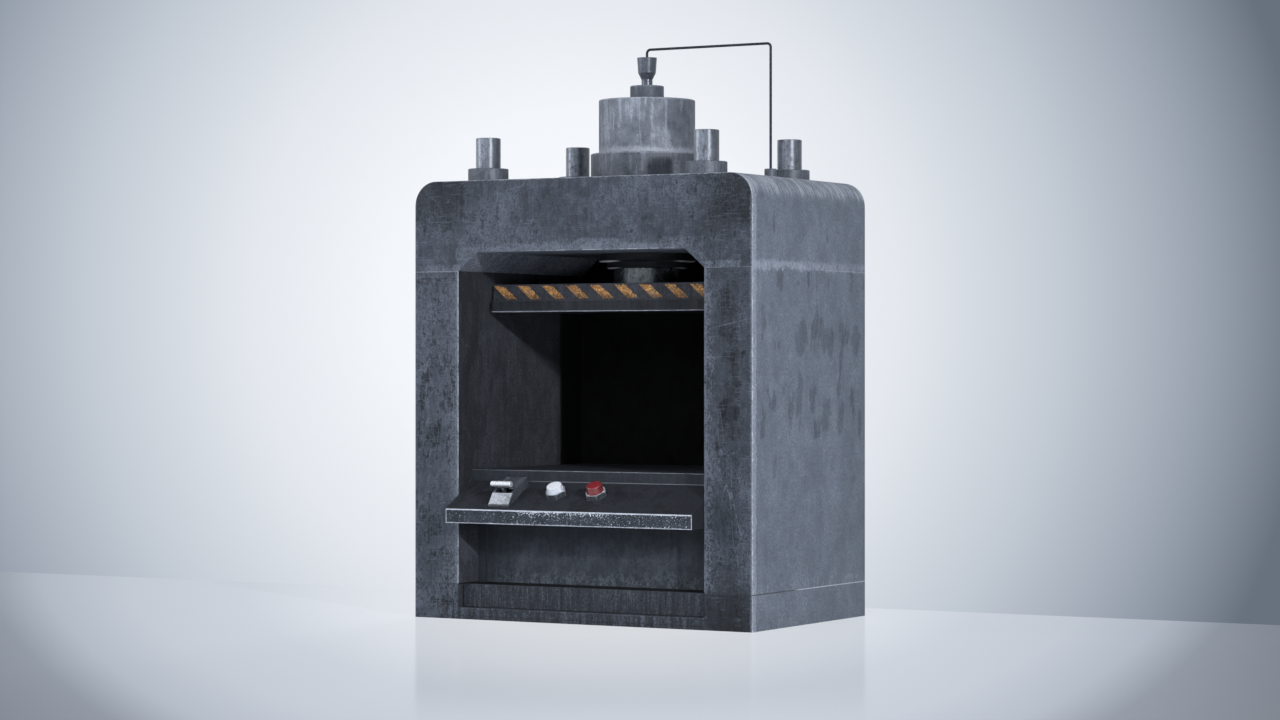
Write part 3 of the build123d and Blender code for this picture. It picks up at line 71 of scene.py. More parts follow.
class Wire:
    """A number on a shader socket. Python's operators on it add Math nodes."""

    def __init__(self, sheet: "Sheet", socket: bpy.types.NodeSocket) -> None:
        """Keep the socket and the sheet that its node is on."""
        self.sheet = sheet
        self.socket = socket

    def __add__(self, other: Value) -> "Wire":
        """Return the sum."""
        return self.sheet.math("ADD", self, other)

    def __sub__(self, other: Value) -> "Wire":
        """Return the difference."""
        return self.sheet.math("SUBTRACT", self, other)

    def __mul__(self, other: Value) -> "Wire":
        """Return the product."""
        return self.sheet.math("MULTIPLY", self, other)

    def __truediv__(self, other: Value) -> "Wire":
        """Return the quotient."""
        return self.sheet.math("DIVIDE", self, other)

    def __rsub__(self, other: Value) -> "Wire":
        """Return the difference from a number on the left."""
        return self.sheet.math("SUBTRACT", other, self)

    def __rtruediv__(self, other: Value) -> "Wire":
        """Return the quotient of a number on the left."""
        return self.sheet.math("DIVIDE", other, self)

    def __neg__(self) -> "Wire":
        """Return the value with its sign changed."""
        return self.sheet.math("MULTIPLY", self, -1.0)

    def __abs__(self) -> "Wire":
        """Return the value without its sign."""
        return self.sheet.math("ABSOLUTE", self)

    __radd__ = __add__
    __rmul__ = __mul__

    def larger(self, other: Value) -> "Wire":
        """Return the larger of the two values."""
        return self.sheet.math("MAXIMUM", self, other)

    def smaller(self, other: Value) -> "Wire":
        """Return the smaller of the two values."""
        return self.sheet.math("MINIMUM", self, other)

    def rise(self, low: float, high: float) -> "Wire":
        """Return 0 below low, 1 above high and a smooth rise between them.

        Args:
            low: the value at which the rise starts.
            high: the value at which it ends.

        Returns:
            The mask, from 0 to 1.
        """
        node = self.sheet.node(
            "ShaderNodeMapRange",
            {"interpolation_type": "SMOOTHSTEP"},
            {0: self, 1: low, 2: high, 3: 0.0, 4: 1.0},
        )
        return Wire(self.sheet, node.outputs[0])

    def fall(self, low: float, high: float) -> "Wire":
        """Return 1 below low, 0 above high and a smooth fall between them."""
        return 1 - self.rise(low, high)

    def near(self, middle: Value, core: float, edge: float) -> "Wire":
        """Return 1 within core of a middle, falling to 0 at edge from it.

        Args:
            middle: the value in the middle of the band.
            core: half the width of the full band.
            edge: half the width at which it has gone.

        Returns:
            The mask, from 0 to 1.
        """
        return abs(self - middle).fall(core, edge)

    def near_any(self, bands: Bands) -> "Wire":
        """Return the highest of several bands, each a middle, a core, an edge and a share."""
        return reduce(Wire.larger, [self.near(*band) * share for *band, share in bands])


@dataclass(frozen=True)
class Grain:
    """A noise pattern: how many spots a metre has along each axis, and how rough it is."""

    fineness: tuple[float, float, float]
    detail: float = 6.0
    rough: float = 0.6
    shift: float = 0.0


MOTTLE = Grain((11, 11, 8), 10, 0.72, 21.0)
CLOUDS = Grain((34, 34, 28), 8, 0.76, 3.1)
STREAKS = Grain((95, 95, 7), 5, 0.62, 7.7)
RUNS = Grain((75, 75, 11), 7, 0.74, 27.7)
DRIPS = Grain((30, 30, 9), 4, 0.6, 1.9)
DASHES = Grain((22, 22, 330), 3, 0.6, 9.4)
GRIT = Grain((215, 215, 170), 3, 0.85, 12.3)
PORES = Grain((520, 520, 520), 2, 0.6, 2.2)
FRAYS = Grain((110, 110, 80), 6, 0.74, 6.6)
CHIPS = Grain((210, 210, 250), 4, 0.78, 15.2)
ARCS = Grain((5, 230, 5), 5, 0.72, 4.4)
WAVES = Grain((6, 6, 6), 5, 0.6, 33.3)
HAIRS = Grain((4, 4, 11), 1, 0.5, 17.7)
SCORES = Grain((12, 12, 2), 1, 0.5, 41.0)


class Sheet:
    """One material being drawn, node by node."""

    def __init__(self, owner: Union[bpy.types.Material, bpy.types.World]) -> None:
        """Start with no nodes on a material or a world.

        Args:
            owner: what gets the nodes.
        """
        owner.use_nodes = True
        self.owner = owner
        self.tree = owner.node_tree
        self.tree.nodes.clear()
        self.coordinates = self.node("ShaderNodeTexCoord", {}, {})
        self.drawn: dict[Grain, Wire] = {}

    @classmethod
    def new(cls, name: str) -> "Sheet":
        """Return the sheet of a new material."""
        return cls(bpy.data.materials.new(name))

    def node(self, kind: str, settings: dict, inputs: dict) -> bpy.types.Node:
        """Add a node.

        Args:
            kind: the node's type.
            settings: its own properties, set first; "stops" are a colour ramp's stops.
            inputs: a value or a link for each of its sockets, by name or by number.

        Returns:
            The node.
        """
        made = self.tree.nodes.new(kind)
        for key, value in settings.items():
            if key == "stops":
                self._set_stops(made.color_ramp, value)
            else:
                setattr(made, key, value)
        for key, value in inputs.items():
            source = value.socket if isinstance(value, Wire) else value
            if isinstance(source, bpy.types.NodeSocket):
                self.tree.links.new(source, made.inputs[key])
            else:
                made.inputs[key].default_value = source
        return made

    def _set_stops(self, ramp: bpy.types.ColorRamp, stops: Stops) -> None:
        """Give a colour ramp its stops, each a place from 0 to 1 and a screen colour.

        Args:
            ramp: the colour ramp.
            stops: its stops.
        """
        while len(ramp.elements) < len(stops):
            ramp.elements.new(1.0)
        for element, (place, shade) in zip(ramp.elements, stops):
            element.position = place
            element.color = tint(shade)

    def math(self, operation: str, *values: Value) -> Wire:
        """Return the result of one Math node on the values."""
        made = self.node("ShaderNodeMath", {"operation": operation}, dict(enumerate(values)))
        return Wire(self, made.outputs[0])

    def dot(self, first: Value, second: Value) -> Wire:
        """Return how far two directions agree: 1 for the same one."""
        made = self.node("ShaderNodeVectorMath", {"operation": "DOT_PRODUCT"}, {0: first, 1: second})
        return Wire(self, made.outputs["Value"])

    def split(self, socket: bpy.types.NodeSocket) -> tuple[Wire, Wire, Wire]:
        """Return the three parts of a vector."""
        parts = self.node("ShaderNodeSeparateXYZ", {}, {0: socket})
        return tuple(Wire(self, part) for part in parts.outputs)

    @cached_property
    def place(self) -> tuple[Wire, Wire, Wire]:
        """Where a point is on the piece: x, y and z in metres."""
        return self.split(self.coordinates.outputs["Object"])

    @cached_property
    def facing(self) -> tuple[Wire, Wire, Wire]:
        """The direction in which the surface faces."""
        return self.split(self.coordinates.outputs["Normal"])

    def noise(self, grain: Grain) -> Wire:
        """Return a noise pattern: 0 on average, and a tenth of it over 0.7.

        Args:
            grain: the pattern's spots.

        Returns:
            The pattern.
        """
        if grain in self.drawn:
            return self.drawn[grain]
        spread = self.node(
            "ShaderNodeMapping",
            {"vector_type": "POINT"},
            {
                "Vector": self.coordinates.outputs["Object"],
                "Location": (grain.shift,) * 3,
                "Scale": grain.fineness,
            },
        )
        made = self.node(
            "ShaderNodeTexNoise",
            {"noise_dimensions": "3D"},
            {
                "Vector": spread.outputs[0],
                "Scale": 1.0,
                "Detail": grain.detail,
                "Roughness": grain.rough,
            },
        )
        self.drawn[grain] = (Wire(self, made.outputs[0]) - 0.5) * NOISE_GAIN
        return self.drawn[grain]

    def noises(self, *grains: Grain) -> list[Wire]:
        """Return several noise patterns."""
        return [self.noise(grain) for grain in grains]

    def blend(self, factor: Value, below: Union[Shade, Wire], above: Union[Shade, Wire]) -> Wire:
        """Return a colour between two.

        Args:
            factor: 0 for the one below, 1 for the one above.
            below: a screen colour, or a wire that carries one.
            above: a screen colour, or a wire that carries one.

        Returns:
            The mixed colour.
        """
        under, over = (side if isinstance(side, Wire) else tint(side) for side in (below, above))
        made = self.node(
            "ShaderNodeMix",
            {"data_type": "RGBA", "clamp_factor": True},
            {0: factor, 6: under, 7: over},
        )
        return Wire(self, made.outputs[2])

    def ramp(self, tone: Value, stops: Stops) -> Wire:
        """Return the colour that a ramp gives for a tone from 0 to 1."""
        made = self.node("ShaderNodeValToRGB", {"stops": stops}, {0: tone})
        return Wire(self, made.outputs[0])

    def soften(self, radius: float) -> bpy.types.NodeSocket:
        """Return the normal that sharp edges would have, rounded by a radius."""
        return self.node("ShaderNodeBevel", {"samples": 4}, {"Radius": radius}).outputs[0]

    def corners(self, radius: float) -> Wire:
        """Return how near a sharp edge is: 0 on a flat, 1 on the edge itself."""
        shape = self.node("ShaderNodeNewGeometry", {}, {})
        return (1 - self.dot(self.soften(radius), shape.outputs["Normal"])).rise(0.02, 0.22)

    def relief(self, height: Wire, depth: float, rounding: float) -> Wire:
        """Return a normal that follows a height pattern and softens sharp edges.

        Args:
            height: the pattern, from 0 to 1.
            depth: how far it rises, in metres.
            rounding: the radius that sharp edges seem to have.

        Returns:
            The normal.
        """
        made = self.node(
            "ShaderNodeBump",
            {},
            {"Strength": 1.0, "Distance": depth, "Height": height, "Normal": self.soften(rounding)},
        )
        return Wire(self, made.outputs[0])

    def seen(self) -> Wire:
        """Return 1 where a point is looked at, straight or mirrored, and 0 where it lights others.

        Returns:
            The mask, from 0 to 1.
        """
        path = self.node("ShaderNodeLightPath", {}, {})
        rays = ("Is Camera Ray", "Is Glossy Ray", "Is Transmission Ray")
        straight, mirrored, through = (Wire(self, path.outputs[ray]) for ray in rays)
        return (straight + mirrored + through).smaller(1.0)

    def mix(self, factor: Value, below: bpy.types.Node, above: bpy.types.Node) -> bpy.types.Node:
        """Return a shader between two."""
        return self.node("ShaderNodeMixShader", {}, {0: factor, 1: below.outputs[0], 2: above.outputs[0]})

    def finish(
        self,
        colour: Wire,
        roughness: Value,
        normal: Wire,
        metal: float = 0.0,
        gloss: float = 0.5,
        coat: float = 0.0,
    ) -> bpy.types.Material:
        """Close the material with one shader.

        Args:
            colour: the base colour.
            roughness: from 0 for a mirror to 1 for chalk.
            normal: the relief.
            metal: 1 for bare metal, 0 for paint and plastic.
            gloss: how strongly a surface that isn't metal mirrors.
            coat: how much clear lacquer lies over it.

        Returns:
            The material.
        """
        shader = self.node(
            "ShaderNodeBsdfPrincipled",
            {},
            {
                "Base Color": colour,
                "Roughness": roughness,
                "Normal": normal,
                "Metallic": metal,
                "Specular IOR Level": gloss,
                "Coat Weight": coat,
            },
        )
        self.node("ShaderNodeOutputMaterial", {}, {"Surface": shader.outputs[0]})
        return self.owner


@dataclass(frozen=True)
class Finish:
    """A look: its material's name, and how that material is drawn."""

    name: str

    def draw(self, sheet: Sheet) -> bpy.types.Material:
        """Draw the look on a material's sheet."""
        raise NotImplementedError

    def extras(self, sheet: Sheet, colour: Wire) -> Wire:
        """Return the colour with the marks that only this piece has."""
        return colour

    def cover(self, *pieces: str) -> None:
        """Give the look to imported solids.

        Args:
            pieces: the solids' names.
        """
        material = self.draw(Sheet.new(self.name))
        for piece in pieces:
            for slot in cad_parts[piece].material_slots:
                slot.material = material


@dataclass(frozen=True)
class Outline:
    """Where the body's edges are: what the wear follows."""

    opening_half: float
    opening_top: float
    seam: float
    base_top: float
    front: float
    back: float
    half_width: float
    top: float

    @classmethod
    def from_frame(cls) -> "Outline":
        """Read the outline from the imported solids.

        Returns:
            The outline.
        """
        upright_low, upright_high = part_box("right_upright")
        _, crown_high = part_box("crown")
        barrel_low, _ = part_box("cylinder_barrel")
        return cls(
            opening_half=upright_low.x,
            opening_top=barrel_low.z,
            seam=upright_high.z,
            base_top=upright_low.z,
            front=upright_low.y,
            back=upright_high.y,
            half_width=upright_high.x,
            top=crown_high.z,
        )


@dataclass(frozen=True)
class BodyPaint(Finish):
    """Worn blue-grey paint on the frame: mottled in front, smoother and paler at the sides, partly by
    painted light.
    """

    outline: Outline
    strip_width: float = 0.023
    scratch_start: float = 0.6716
    scratch_slope: float = 0.212
    shadow_from: float = 0.192
    sill_top: float = 0.027
    sill_groove: float = 0.0085
    ledge_end: float = -0.172
    drip_rows: Bands = (
        (0.655, 0.015, 0.075, 1.0), (0.49, 0.03, 0.10, 0.9), (0.785, 0.008, 0.04, 0.75),
    )
    front_stops: Stops = (
        (0.0, (12, 14, 18)), (0.25, (33, 37, 44)), (0.5, (57, 63, 73)),
        (0.75, (82, 89, 101)), (1.0, (122, 130, 144)),
    )
    # The sides' paler stops are partly the paint's own tone and partly painted light on the sides.
    side_stops: Stops = ((0.0, (40, 46, 56)), (0.5, (93, 101, 114)), (1.0, (148, 156, 170)))
    # The opening's walls take darker stops than the sides: painted shade inside the opening.
    inside_stops: Stops = ((0.0, (8, 9, 11)), (0.5, (37, 40, 45)), (1.0, (70, 74, 83)))
    kick_stops: Stops = ((0.0, (10, 12, 15)), (0.5, (37, 41, 48)), (1.0, (78, 84, 95)))
    # The gussets' downward slants take paler stops: painted light from below.
    slant_stops: Stops = ((0.0, (58, 64, 74)), (0.5, (93, 99, 111)), (1.0, (128, 135, 148)))
    worn: Shade = (94, 101, 114)
    bare: Shade = (140, 148, 162)
    bright: Shade = (168, 174, 186)
    soot: Shade = (24, 27, 32)

    def front_tone(self, sheet: Sheet) -> Wire:
        """Return how pale the front face's paint is, from 0 to 1.

        Args:
            sheet: the material's sheet.

        Returns:
            The tone, from 0 to 1.
        """
        x, _, z = sheet.place
        across = abs(x)
        mottle, clouds, grit, runs, waves, frays = sheet.noises(MOTTLE, CLOUDS, GRIT, RUNS, WAVES, FRAYS)
        coarse = (waves + mottle * 0.5).rise(-0.5, 0.7)
        tone = 0.515 + mottle * 0.12 + clouds * 0.11 + runs * 0.07
        tone = tone + grit * (0.08 + coarse * 0.08) + waves * 0.08
        left_jamb = x.fall(-0.334, -0.328) * z.fall(0.79, 0.84)
        spots = (clouds * 0.5 + frays * 0.5 + mottle * 0.3 + runs * 0.3).rise(0.10, 0.55)
        tone = tone + left_jamb * (0.10 - spots * 0.25)
        patches = mottle * 0.55 + clouds * 0.4 + grit * 0.15
        tone = tone - patches.rise(0.28, 0.44) * 0.13 + (-patches).rise(0.34, 0.50) * 0.08
        tone = tone - (runs + clouds * 0.3 + across.rise(0.25, 0.35) * 0.2).rise(0.72, 0.95) * 0.14
        right = x.rise(-0.01, 0.01)
        middle = across.near(0.390, 0.010, 0.055) * z.fall(0.80, 0.87)
        dark_middle = (middle * 0.68 + mottle * 0.35 + clouds * 0.25).rise(0.60, 0.86)
        tone = tone - dark_middle * (0.09 + right * 0.09)
        corner = across.rise(0.20, 0.44) * z.rise(0.85, 0.95) * (0.90 + right * 0.25)
        soot = (corner * 0.9 + mottle * 0.35 + clouds * 0.25 + runs * 0.25).rise(0.38, 0.74)
        flank = x.rise(0.30, 0.34)
        base = z.fall(self.outline.base_top - 0.003, self.outline.base_top + 0.003)
        tone = tone - soot * 0.22 - z.fall(0.08, 0.30) * 0.085 - base * (0.04 + flank * 0.10)
        return tone - flank * z.fall(0.82, 0.87) * 0.05 - flank * z.rise(0.84, 0.90) * 0.10

    def wear(self, sheet: Sheet) -> Wire:
        """Return where the front's paint is rubbed pale round the opening.

        Args:
            sheet: the material's sheet.

        Returns:
            The mask, from 0 to 1.
        """
        outline = self.outline
        x, _, z = sheet.place
        clouds, grit, frays, waves = sheet.noises(CLOUDS, GRIT, FRAYS, WAVES)
        beside = abs(x) - outline.opening_half
        above = z - outline.opening_top
        wave = waves * 0.0042 * above.rise(-0.02, 0.0)
        reach = beside.larger(0.0) + (above * 0.46 + wave).larger(0.0) + clouds * 0.0014 + frays * 0.0010
        gusset = abs(x).rise(0.22, 0.31) * z.rise(outline.seam - 0.004, outline.seam + 0.004)
        rubbed = 0.52 - gusset * 0.34 - x.rise(0.12, 0.24) * 0.16 + grit * 0.20 + clouds * 0.20
        band = reach.fall(0.0074, 0.0098) * rubbed
        scribbles = reach.fall(0.012, 0.034) * (frays * 0.7 + grit * 0.5).rise(0.22, 0.45) * 0.6
        scribbles = scribbles * z.fall(outline.seam - 0.02, outline.seam + 0.02)
        return band.larger(scribbles) * z.rise(outline.base_top - 0.001, outline.base_top + 0.001)

    def scuffs(self, sheet: Sheet, colour: Wire) -> Wire:
        """Return the front colour with its combed marks, its specks and its hairline scratches.

        Args:
            sheet: the material's sheet.
            colour: the paint so far.

        Returns:
            The colour.
        """
        x, _, z = sheet.place
        mottle, clouds, grit, frays = sheet.noises(MOTTLE, CLOUDS, GRIT, FRAYS)
        shoulder = z.near(0.85, 0.02, 0.07) * abs(x).rise(0.36, 0.40)
        combed = (sheet.noise(DASHES) + shoulder * 0.5).rise(0.75, 1.0)
        colour = sheet.blend(combed * clouds.rise(-0.4, 0.4) * 0.25, colour, self.worn)
        dots = (grit * 0.9 + frays * 0.45).rise(0.72, 0.95)
        colour = sheet.blend(dots * 0.5, colour, self.soot)
        level = abs(sheet.noise(HAIRS)).fall(0.008, 0.026) * (clouds + frays * 0.5).rise(0.0, 0.4)
        upright = abs(sheet.noise(SCORES)).fall(0.008, 0.026) * (mottle + frays).rise(0.1, 0.5)
        return sheet.blend(level.larger(upright) * 0.55, colour, self.worn)

    def front_colour(self, sheet: Sheet) -> Wire:
        """Return the colour of the front face, rubbed along its edges.

        Args:
            sheet: the material's sheet.

        Returns:
            The colour.
        """
        outline = self.outline
        x, _, z = sheet.place
        across = abs(x)
        clouds, grit, frays = sheet.noises(CLOUDS, GRIT, FRAYS)
        colour = self.scuffs(sheet, sheet.ramp(self.front_tone(sheet), self.front_stops))
        colour = sheet.blend(self.wear(sheet), colour, self.worn)
        left = x.fall(-0.01, 0.01)
        on_top = z.rise(outline.opening_top - 0.001, outline.opening_top)
        chipped = (frays * 0.7 + clouds * 0.5).rise(0.0, 0.3) * x.near(0.08, 0.12, 0.26) * on_top
        beside = (across - outline.opening_half).near(0.0008, 0.0006, 0.0022)
        beside = beside * z.fall(outline.seam, outline.seam + 0.001)
        beside = beside * (0.12 + left * 0.50) * (0.85 + frays * 0.8)
        above = (z - outline.opening_top).near(0.0008, 0.0008, 0.0022) * across.fall(0.24, 0.27)
        line = beside.larger(above * (0.10 + chipped * 0.7))
        line = line * z.rise(outline.base_top, outline.base_top + 0.002)
        colour = sheet.blend(line, colour, self.bright)
        border = outline.half_width - across + frays * 0.0014
        colour = sheet.blend(border.fall(0.0035, 0.0065) * (0.34 + grit * 0.2), colour, self.worn)
        crest = (outline.top - z).fall(0.0014, 0.0034) * (frays + clouds * 0.6).rise(0.0, 0.4)
        return sheet.blend(crest * across.fall(0.36, 0.39) * 0.42, colour, self.bright)

    def front_marks(self, sheet: Sheet, colour: Wire) -> Wire:
        """Return the front colour with its seams and its long scratch.

        Args:
            sheet: the material's sheet.
            colour: the paint so far.

        Returns:
            The colour.
        """
        outline = self.outline
        x, _, z = sheet.place
        across = abs(x)
        clouds, grit, frays = sheet.noises(CLOUDS, GRIT, FRAYS)
        left = x.fall(-0.01, 0.01)
        shoulder = (z - outline.seam + frays * 0.002).near(0.007, 0.006, 0.009)
        shoulder = shoulder * across.near(0.37, 0.04, 0.06)
        colour = sheet.blend(shoulder * (0.42 + clouds * 0.25 + grit * 0.20), colour, self.worn)
        seam = z.near(outline.seam - 0.0012, 0.0003, 0.0013) * across.rise(0.325, 0.33)
        colour = sheet.blend(seam * (0.03 + left * 0.20) * (0.8 + frays * 0.7), colour, self.bright)
        ghost = z.near(outline.seam - 0.017, 0.0008, 0.003) * across.rise(0.335, 0.36)
        colour = sheet.blend(ghost * (frays + clouds).rise(0.0, 0.5) * 0.6, colour, self.soot)
        colour = sheet.blend(z.near(outline.base_top, 0.0006, 0.0018) * 0.55, colour, self.soot)
        line = z - x * self.scratch_slope
        start = self.scratch_start - outline.opening_half * self.scratch_slope
        scratch = line.near(start, 0.0004, 0.0014) * x.rise(0.33, 0.35) * (0.6 + frays * 0.5)
        return sheet.blend(scratch * 0.6, colour, self.worn)

    def side_tone(self, sheet: Sheet) -> Wire:
        """Return how pale the sides' paint is, with its rows of drips.

        Args:
            sheet: the material's sheet.

        Returns:
            The tone, from 0 to 1.
        """
        _, y, z = sheet.place
        mottle, clouds, grit, frays, runs = sheet.noises(MOTTLE, CLOUDS, GRIT, FRAYS, RUNS)
        tone = 0.50 + mottle * 0.050 + clouds * 0.050 + runs * 0.018 + grit * 0.120
        rows = z.near_any(self.drip_rows)
        drips = (sheet.noise(DRIPS) * 0.55 + grit * 0.08 + frays * 0.05 + rows * 0.66).rise(0.84, 0.89)
        nicks = (runs * 0.6 + grit * 0.6).rise(0.62, 0.85)
        return tone - drips * 0.18 - y.rise(0.0, 0.40) * 0.05 - nicks * 0.10

    def side_colour(self, sheet: Sheet) -> Wire:
        """Return the colour of the sides, the shoulders and the top.

        Args:
            sheet: the material's sheet.

        Returns:
            The colour.
        """
        outline = self.outline
        _, y, z = sheet.place
        _, _, nz = sheet.facing
        clouds, grit, frays = sheet.noises(CLOUDS, GRIT, FRAYS)
        colour = sheet.ramp(self.side_tone(sheet), self.side_stops)
        behind = y - outline.front
        strip = (behind + clouds * 0.0030 + frays * 0.0024).fall(self.strip_width - 0.004, self.strip_width)
        colour = sheet.blend(strip * (0.52 + grit * 0.20), colour, (142, 150, 163))
        flecks = (behind - frays * 0.003).fall(0.002, 0.007) * (frays * 0.6 + clouds * 0.6).rise(0.2, 0.5)
        rim = (behind.fall(0.001, 0.004) * 0.42).larger(flecks)
        colour = sheet.blend(rim, colour, self.bright)
        tail = (outline.back - y + frays * 0.004).fall(0.004, 0.022)
        tail = tail * (frays * 0.7 + grit * 0.5).rise(0.2, 0.5)
        colour = sheet.blend(tail * 0.45, colour, self.worn)
        above = z - outline.seam + frays * 0.0045 + clouds * 0.0025
        rag = (1.0 - y.rise(-0.12, 0.25) * 0.45) * (0.62 + frays * 0.35 + clouds * 0.2)
        colour = sheet.blend(above.near(0.0075, 0.0065, 0.013) * rag, colour, self.bare)
        thin = z.near(outline.seam - 0.001, 0.0004, 0.0014) * y.rise(0.0, 0.2) * 0.3
        colour = sheet.blend(thin, colour, self.bright)
        bend = nz.rise(0.02, 0.5)
        arcs = (sheet.noise(ARCS) + clouds * 0.5).rise(0.12, 0.48)
        colour = sheet.blend(arcs * bend * 0.62 + bend * 0.14, colour, (162, 170, 183))
        dust = z.near(outline.base_top + 0.012, 0.002, 0.020) * (frays + clouds * 0.5).rise(0.1, 0.7)
        colour = sheet.blend(dust * 0.3, colour, (138, 146, 160))
        foot = z.near(outline.base_top, 0.0004, 0.0016)
        rear = y.rise(-0.06, -0.02)
        colour = sheet.blend(foot * (1 - rear) * 0.8, colour, self.soot)
        # Painted highlight: towards the back, the line along the foot is pale.
        return sheet.blend(foot * rear * 0.75, colour, (196, 202, 212))

    def inside_colour(self, sheet: Sheet) -> Wire:
        """Return the colour of the walls of the opening, the gussets' slants and the soffit, with painted
        shade, a painted shadow and painted light.

        Args:
            sheet: the material's sheet.

        Returns:
            The colour.
        """
        _, y, z = sheet.place
        _, _, nz = sheet.facing
        mottle, clouds, grit, runs = sheet.noises(MOTTLE, CLOUDS, GRIT, RUNS)
        # Painted light: the walls turn paler towards the bottom, below the bed.
        tone = 0.575 + mottle * 0.07 + clouds * 0.06 + runs * 0.05 + grit * 0.10 + z.fall(0.17, 0.26) * 0.22
        stains = (y.fall(-0.21, -0.10) * 0.55 + mottle * 0.40 + sheet.noise(DRIPS) * 0.25).rise(0.38, 0.62)
        colour = sheet.ramp(tone - stains * 0.18, self.inside_stops)
        # Painted shadow: from this depth back the walls turn near black, where the right upright shades
        # them.
        colour = sheet.blend(y.rise(self.shadow_from, self.shadow_from + 0.012) * 0.93, colour, (4, 4, 4))
        # Painted light: faces that turn down, the gussets' slants and the soffit, take the paler slant
        # stops.
        slant_tone = 0.54 + clouds * 0.15 + mottle * 0.12 + grit * 0.32
        return sheet.blend(nz.fall(-0.5, -0.3), colour, sheet.ramp(slant_tone, self.slant_stops))

    def kick_colour(self, sheet: Sheet) -> Wire:
        """Return the colour of the base's front between the uprights: kick plate and sill, with painted
        shade in the recess.

        Args:
            sheet: the material's sheet.

        Returns:
            The colour.
        """
        x, _, z = sheet.place
        grit, clouds, streaks, runs = sheet.noises(GRIT, CLOUDS, STREAKS, RUNS)
        tone = 0.46 + streaks * 0.13 + runs * 0.10 + grit * 0.16 + clouds * 0.06
        plate = z.rise(self.sill_top - 0.0005, self.sill_top + 0.0005)
        tone = tone + (1 - plate) * z.rise(self.sill_groove - 0.0005, self.sill_groove + 0.0005) * 0.05
        tone = tone - z.near(self.sill_groove, 0.0004, 0.0014) * 0.16
        colour = sheet.ramp(tone, self.kick_stops)
        # Painted shade: the kick plate darkens just above the sill and at both ends of its recess.
        from_end = self.outline.opening_half - abs(x)
        edge = (z - self.sill_top).fall(0.0012, 0.0034).larger(from_end.fall(0.0030, 0.0045))
        colour = sheet.blend(edge * plate * 0.85, colour, (6, 7, 9))
        lip = z.near(self.sill_top - 0.0012, 0.0004, 0.0012) * (0.25 + grit * 0.3)
        return sheet.blend(lip, colour, self.worn)

    def draw(self, sheet: Sheet) -> bpy.types.Material:
        """Draw the look on a material's sheet.

        Args:
            sheet: the material's sheet.

        Returns:
            The material.
        """
        outline = self.outline
        x, y, z = sheet.place
        _, ny, _ = sheet.facing
        clouds, grit, frays = sheet.noises(CLOUDS, GRIT, FRAYS)
        within = abs(x).fall(outline.opening_half + 0.001, outline.opening_half + 0.003)
        inside = within * z.fall(outline.opening_top + 0.001, outline.opening_top + 0.003)
        inside = inside * ny.fall(0.5, 0.8)
        between = within * z.fall(outline.base_top + 0.001, outline.base_top + 0.002)
        front_colour = self.front_marks(sheet, self.front_colour(sheet))
        front_colour = sheet.blend(between, front_colour, self.kick_colour(sheet))
        front = (-ny).rise(0.55, 0.8)
        colour = sheet.blend(inside, self.side_colour(sheet), self.inside_colour(sheet))
        # Painted shade: the top of the base between the uprights, in front of the panel, is painted near
        # black.
        ledge = within * z.near(outline.base_top, 0.001, 0.002)
        ledge = ledge * y.fall(self.ledge_end, self.ledge_end + 0.004)
        colour = sheet.blend(ledge * 0.95, colour, (3, 4, 5))
        colour = sheet.blend(front, colour, front_colour)
        rub = sheet.corners(0.0016) * (0.2 + frays * 0.3) * (1 - inside * 0.5)
        colour = sheet.blend(rub, colour, self.worn)
        height = 0.5 + sheet.noise(PORES) * 0.06 + grit * 0.10 + clouds * 0.08
        relief = sheet.relief(height, 0.0005, 0.0012)
        return sheet.finish(colour, 0.62 + clouds * 0.03 - front * 0.04, relief, gloss=0.22)


@dataclass(frozen=True)
class PlainPaint(Finish):
    """Streaked paint of one tone, such as on a panel, a bearer or a tank."""

    dark: Shade
    pale: Shade
    streaks: float = 0.06
    mottle: float = 0.08
    rub: Shade = (112, 120, 133)
    rub_share: float = 0.3
    gloss: float = 0.2
    roughness: float = 0.62

    def tone(self, sheet: Sheet) -> Wire:
        """Return the paint's tone, from 0 for dark to 1 for pale.

        Args:
            sheet: the material's sheet.

        Returns:
            The tone, from 0 to 1.
        """
        streaks, mottle, clouds, grit = sheet.noises(STREAKS, MOTTLE, CLOUDS, GRIT)
        tone = 0.5 + streaks * self.streaks + mottle * self.mottle
        return tone + clouds * self.mottle * 0.8 + grit * 0.07

    def draw(self, sheet: Sheet) -> bpy.types.Material:
        """Draw the look on a material's sheet.

        Args:
            sheet: the material's sheet.

        Returns:
            The material.
        """
        colour = sheet.ramp(self.tone(sheet), ((0.0, self.dark), (1.0, self.pale)))
        colour = self.extras(sheet, colour)
        frays, pores, grit = sheet.noises(FRAYS, PORES, GRIT)
        rub = sheet.corners(0.0014) * (self.rub_share + frays * self.rub_share * 0.6)
        colour = sheet.blend(rub, colour, self.rub)
        relief = sheet.relief(0.5 + pores * 0.06 + grit * 0.08, 0.0003, 0.001)
        return sheet.finish(colour, self.roughness + frays * 0.03, relief, gloss=self.gloss)


@dataclass(frozen=True)
class BackPlatePaint(PlainPaint):
    """The plate that closes the back: grey outside, with painted shade, near black, in the opening."""

    rub_share: float = 0.1
    gloss: float = 0.05
    roughness: float = 0.7

    def extras(self, sheet: Sheet, colour: Wire) -> Wire:
        """Return the colour with painted shade, near black, on the face that looks into the opening.

        Args:
            sheet: the material's sheet.
            colour: the paint so far.

        Returns:
            The colour.
        """
        _, ny, _ = sheet.facing
        # Painted shade: the face towards the opening is painted near black.
        soot = (-ny).rise(0.2, 0.6) * (0.985 + sheet.noise(CLOUDS) * 0.01)
        return sheet.blend(soot, colour, (4, 4, 3))


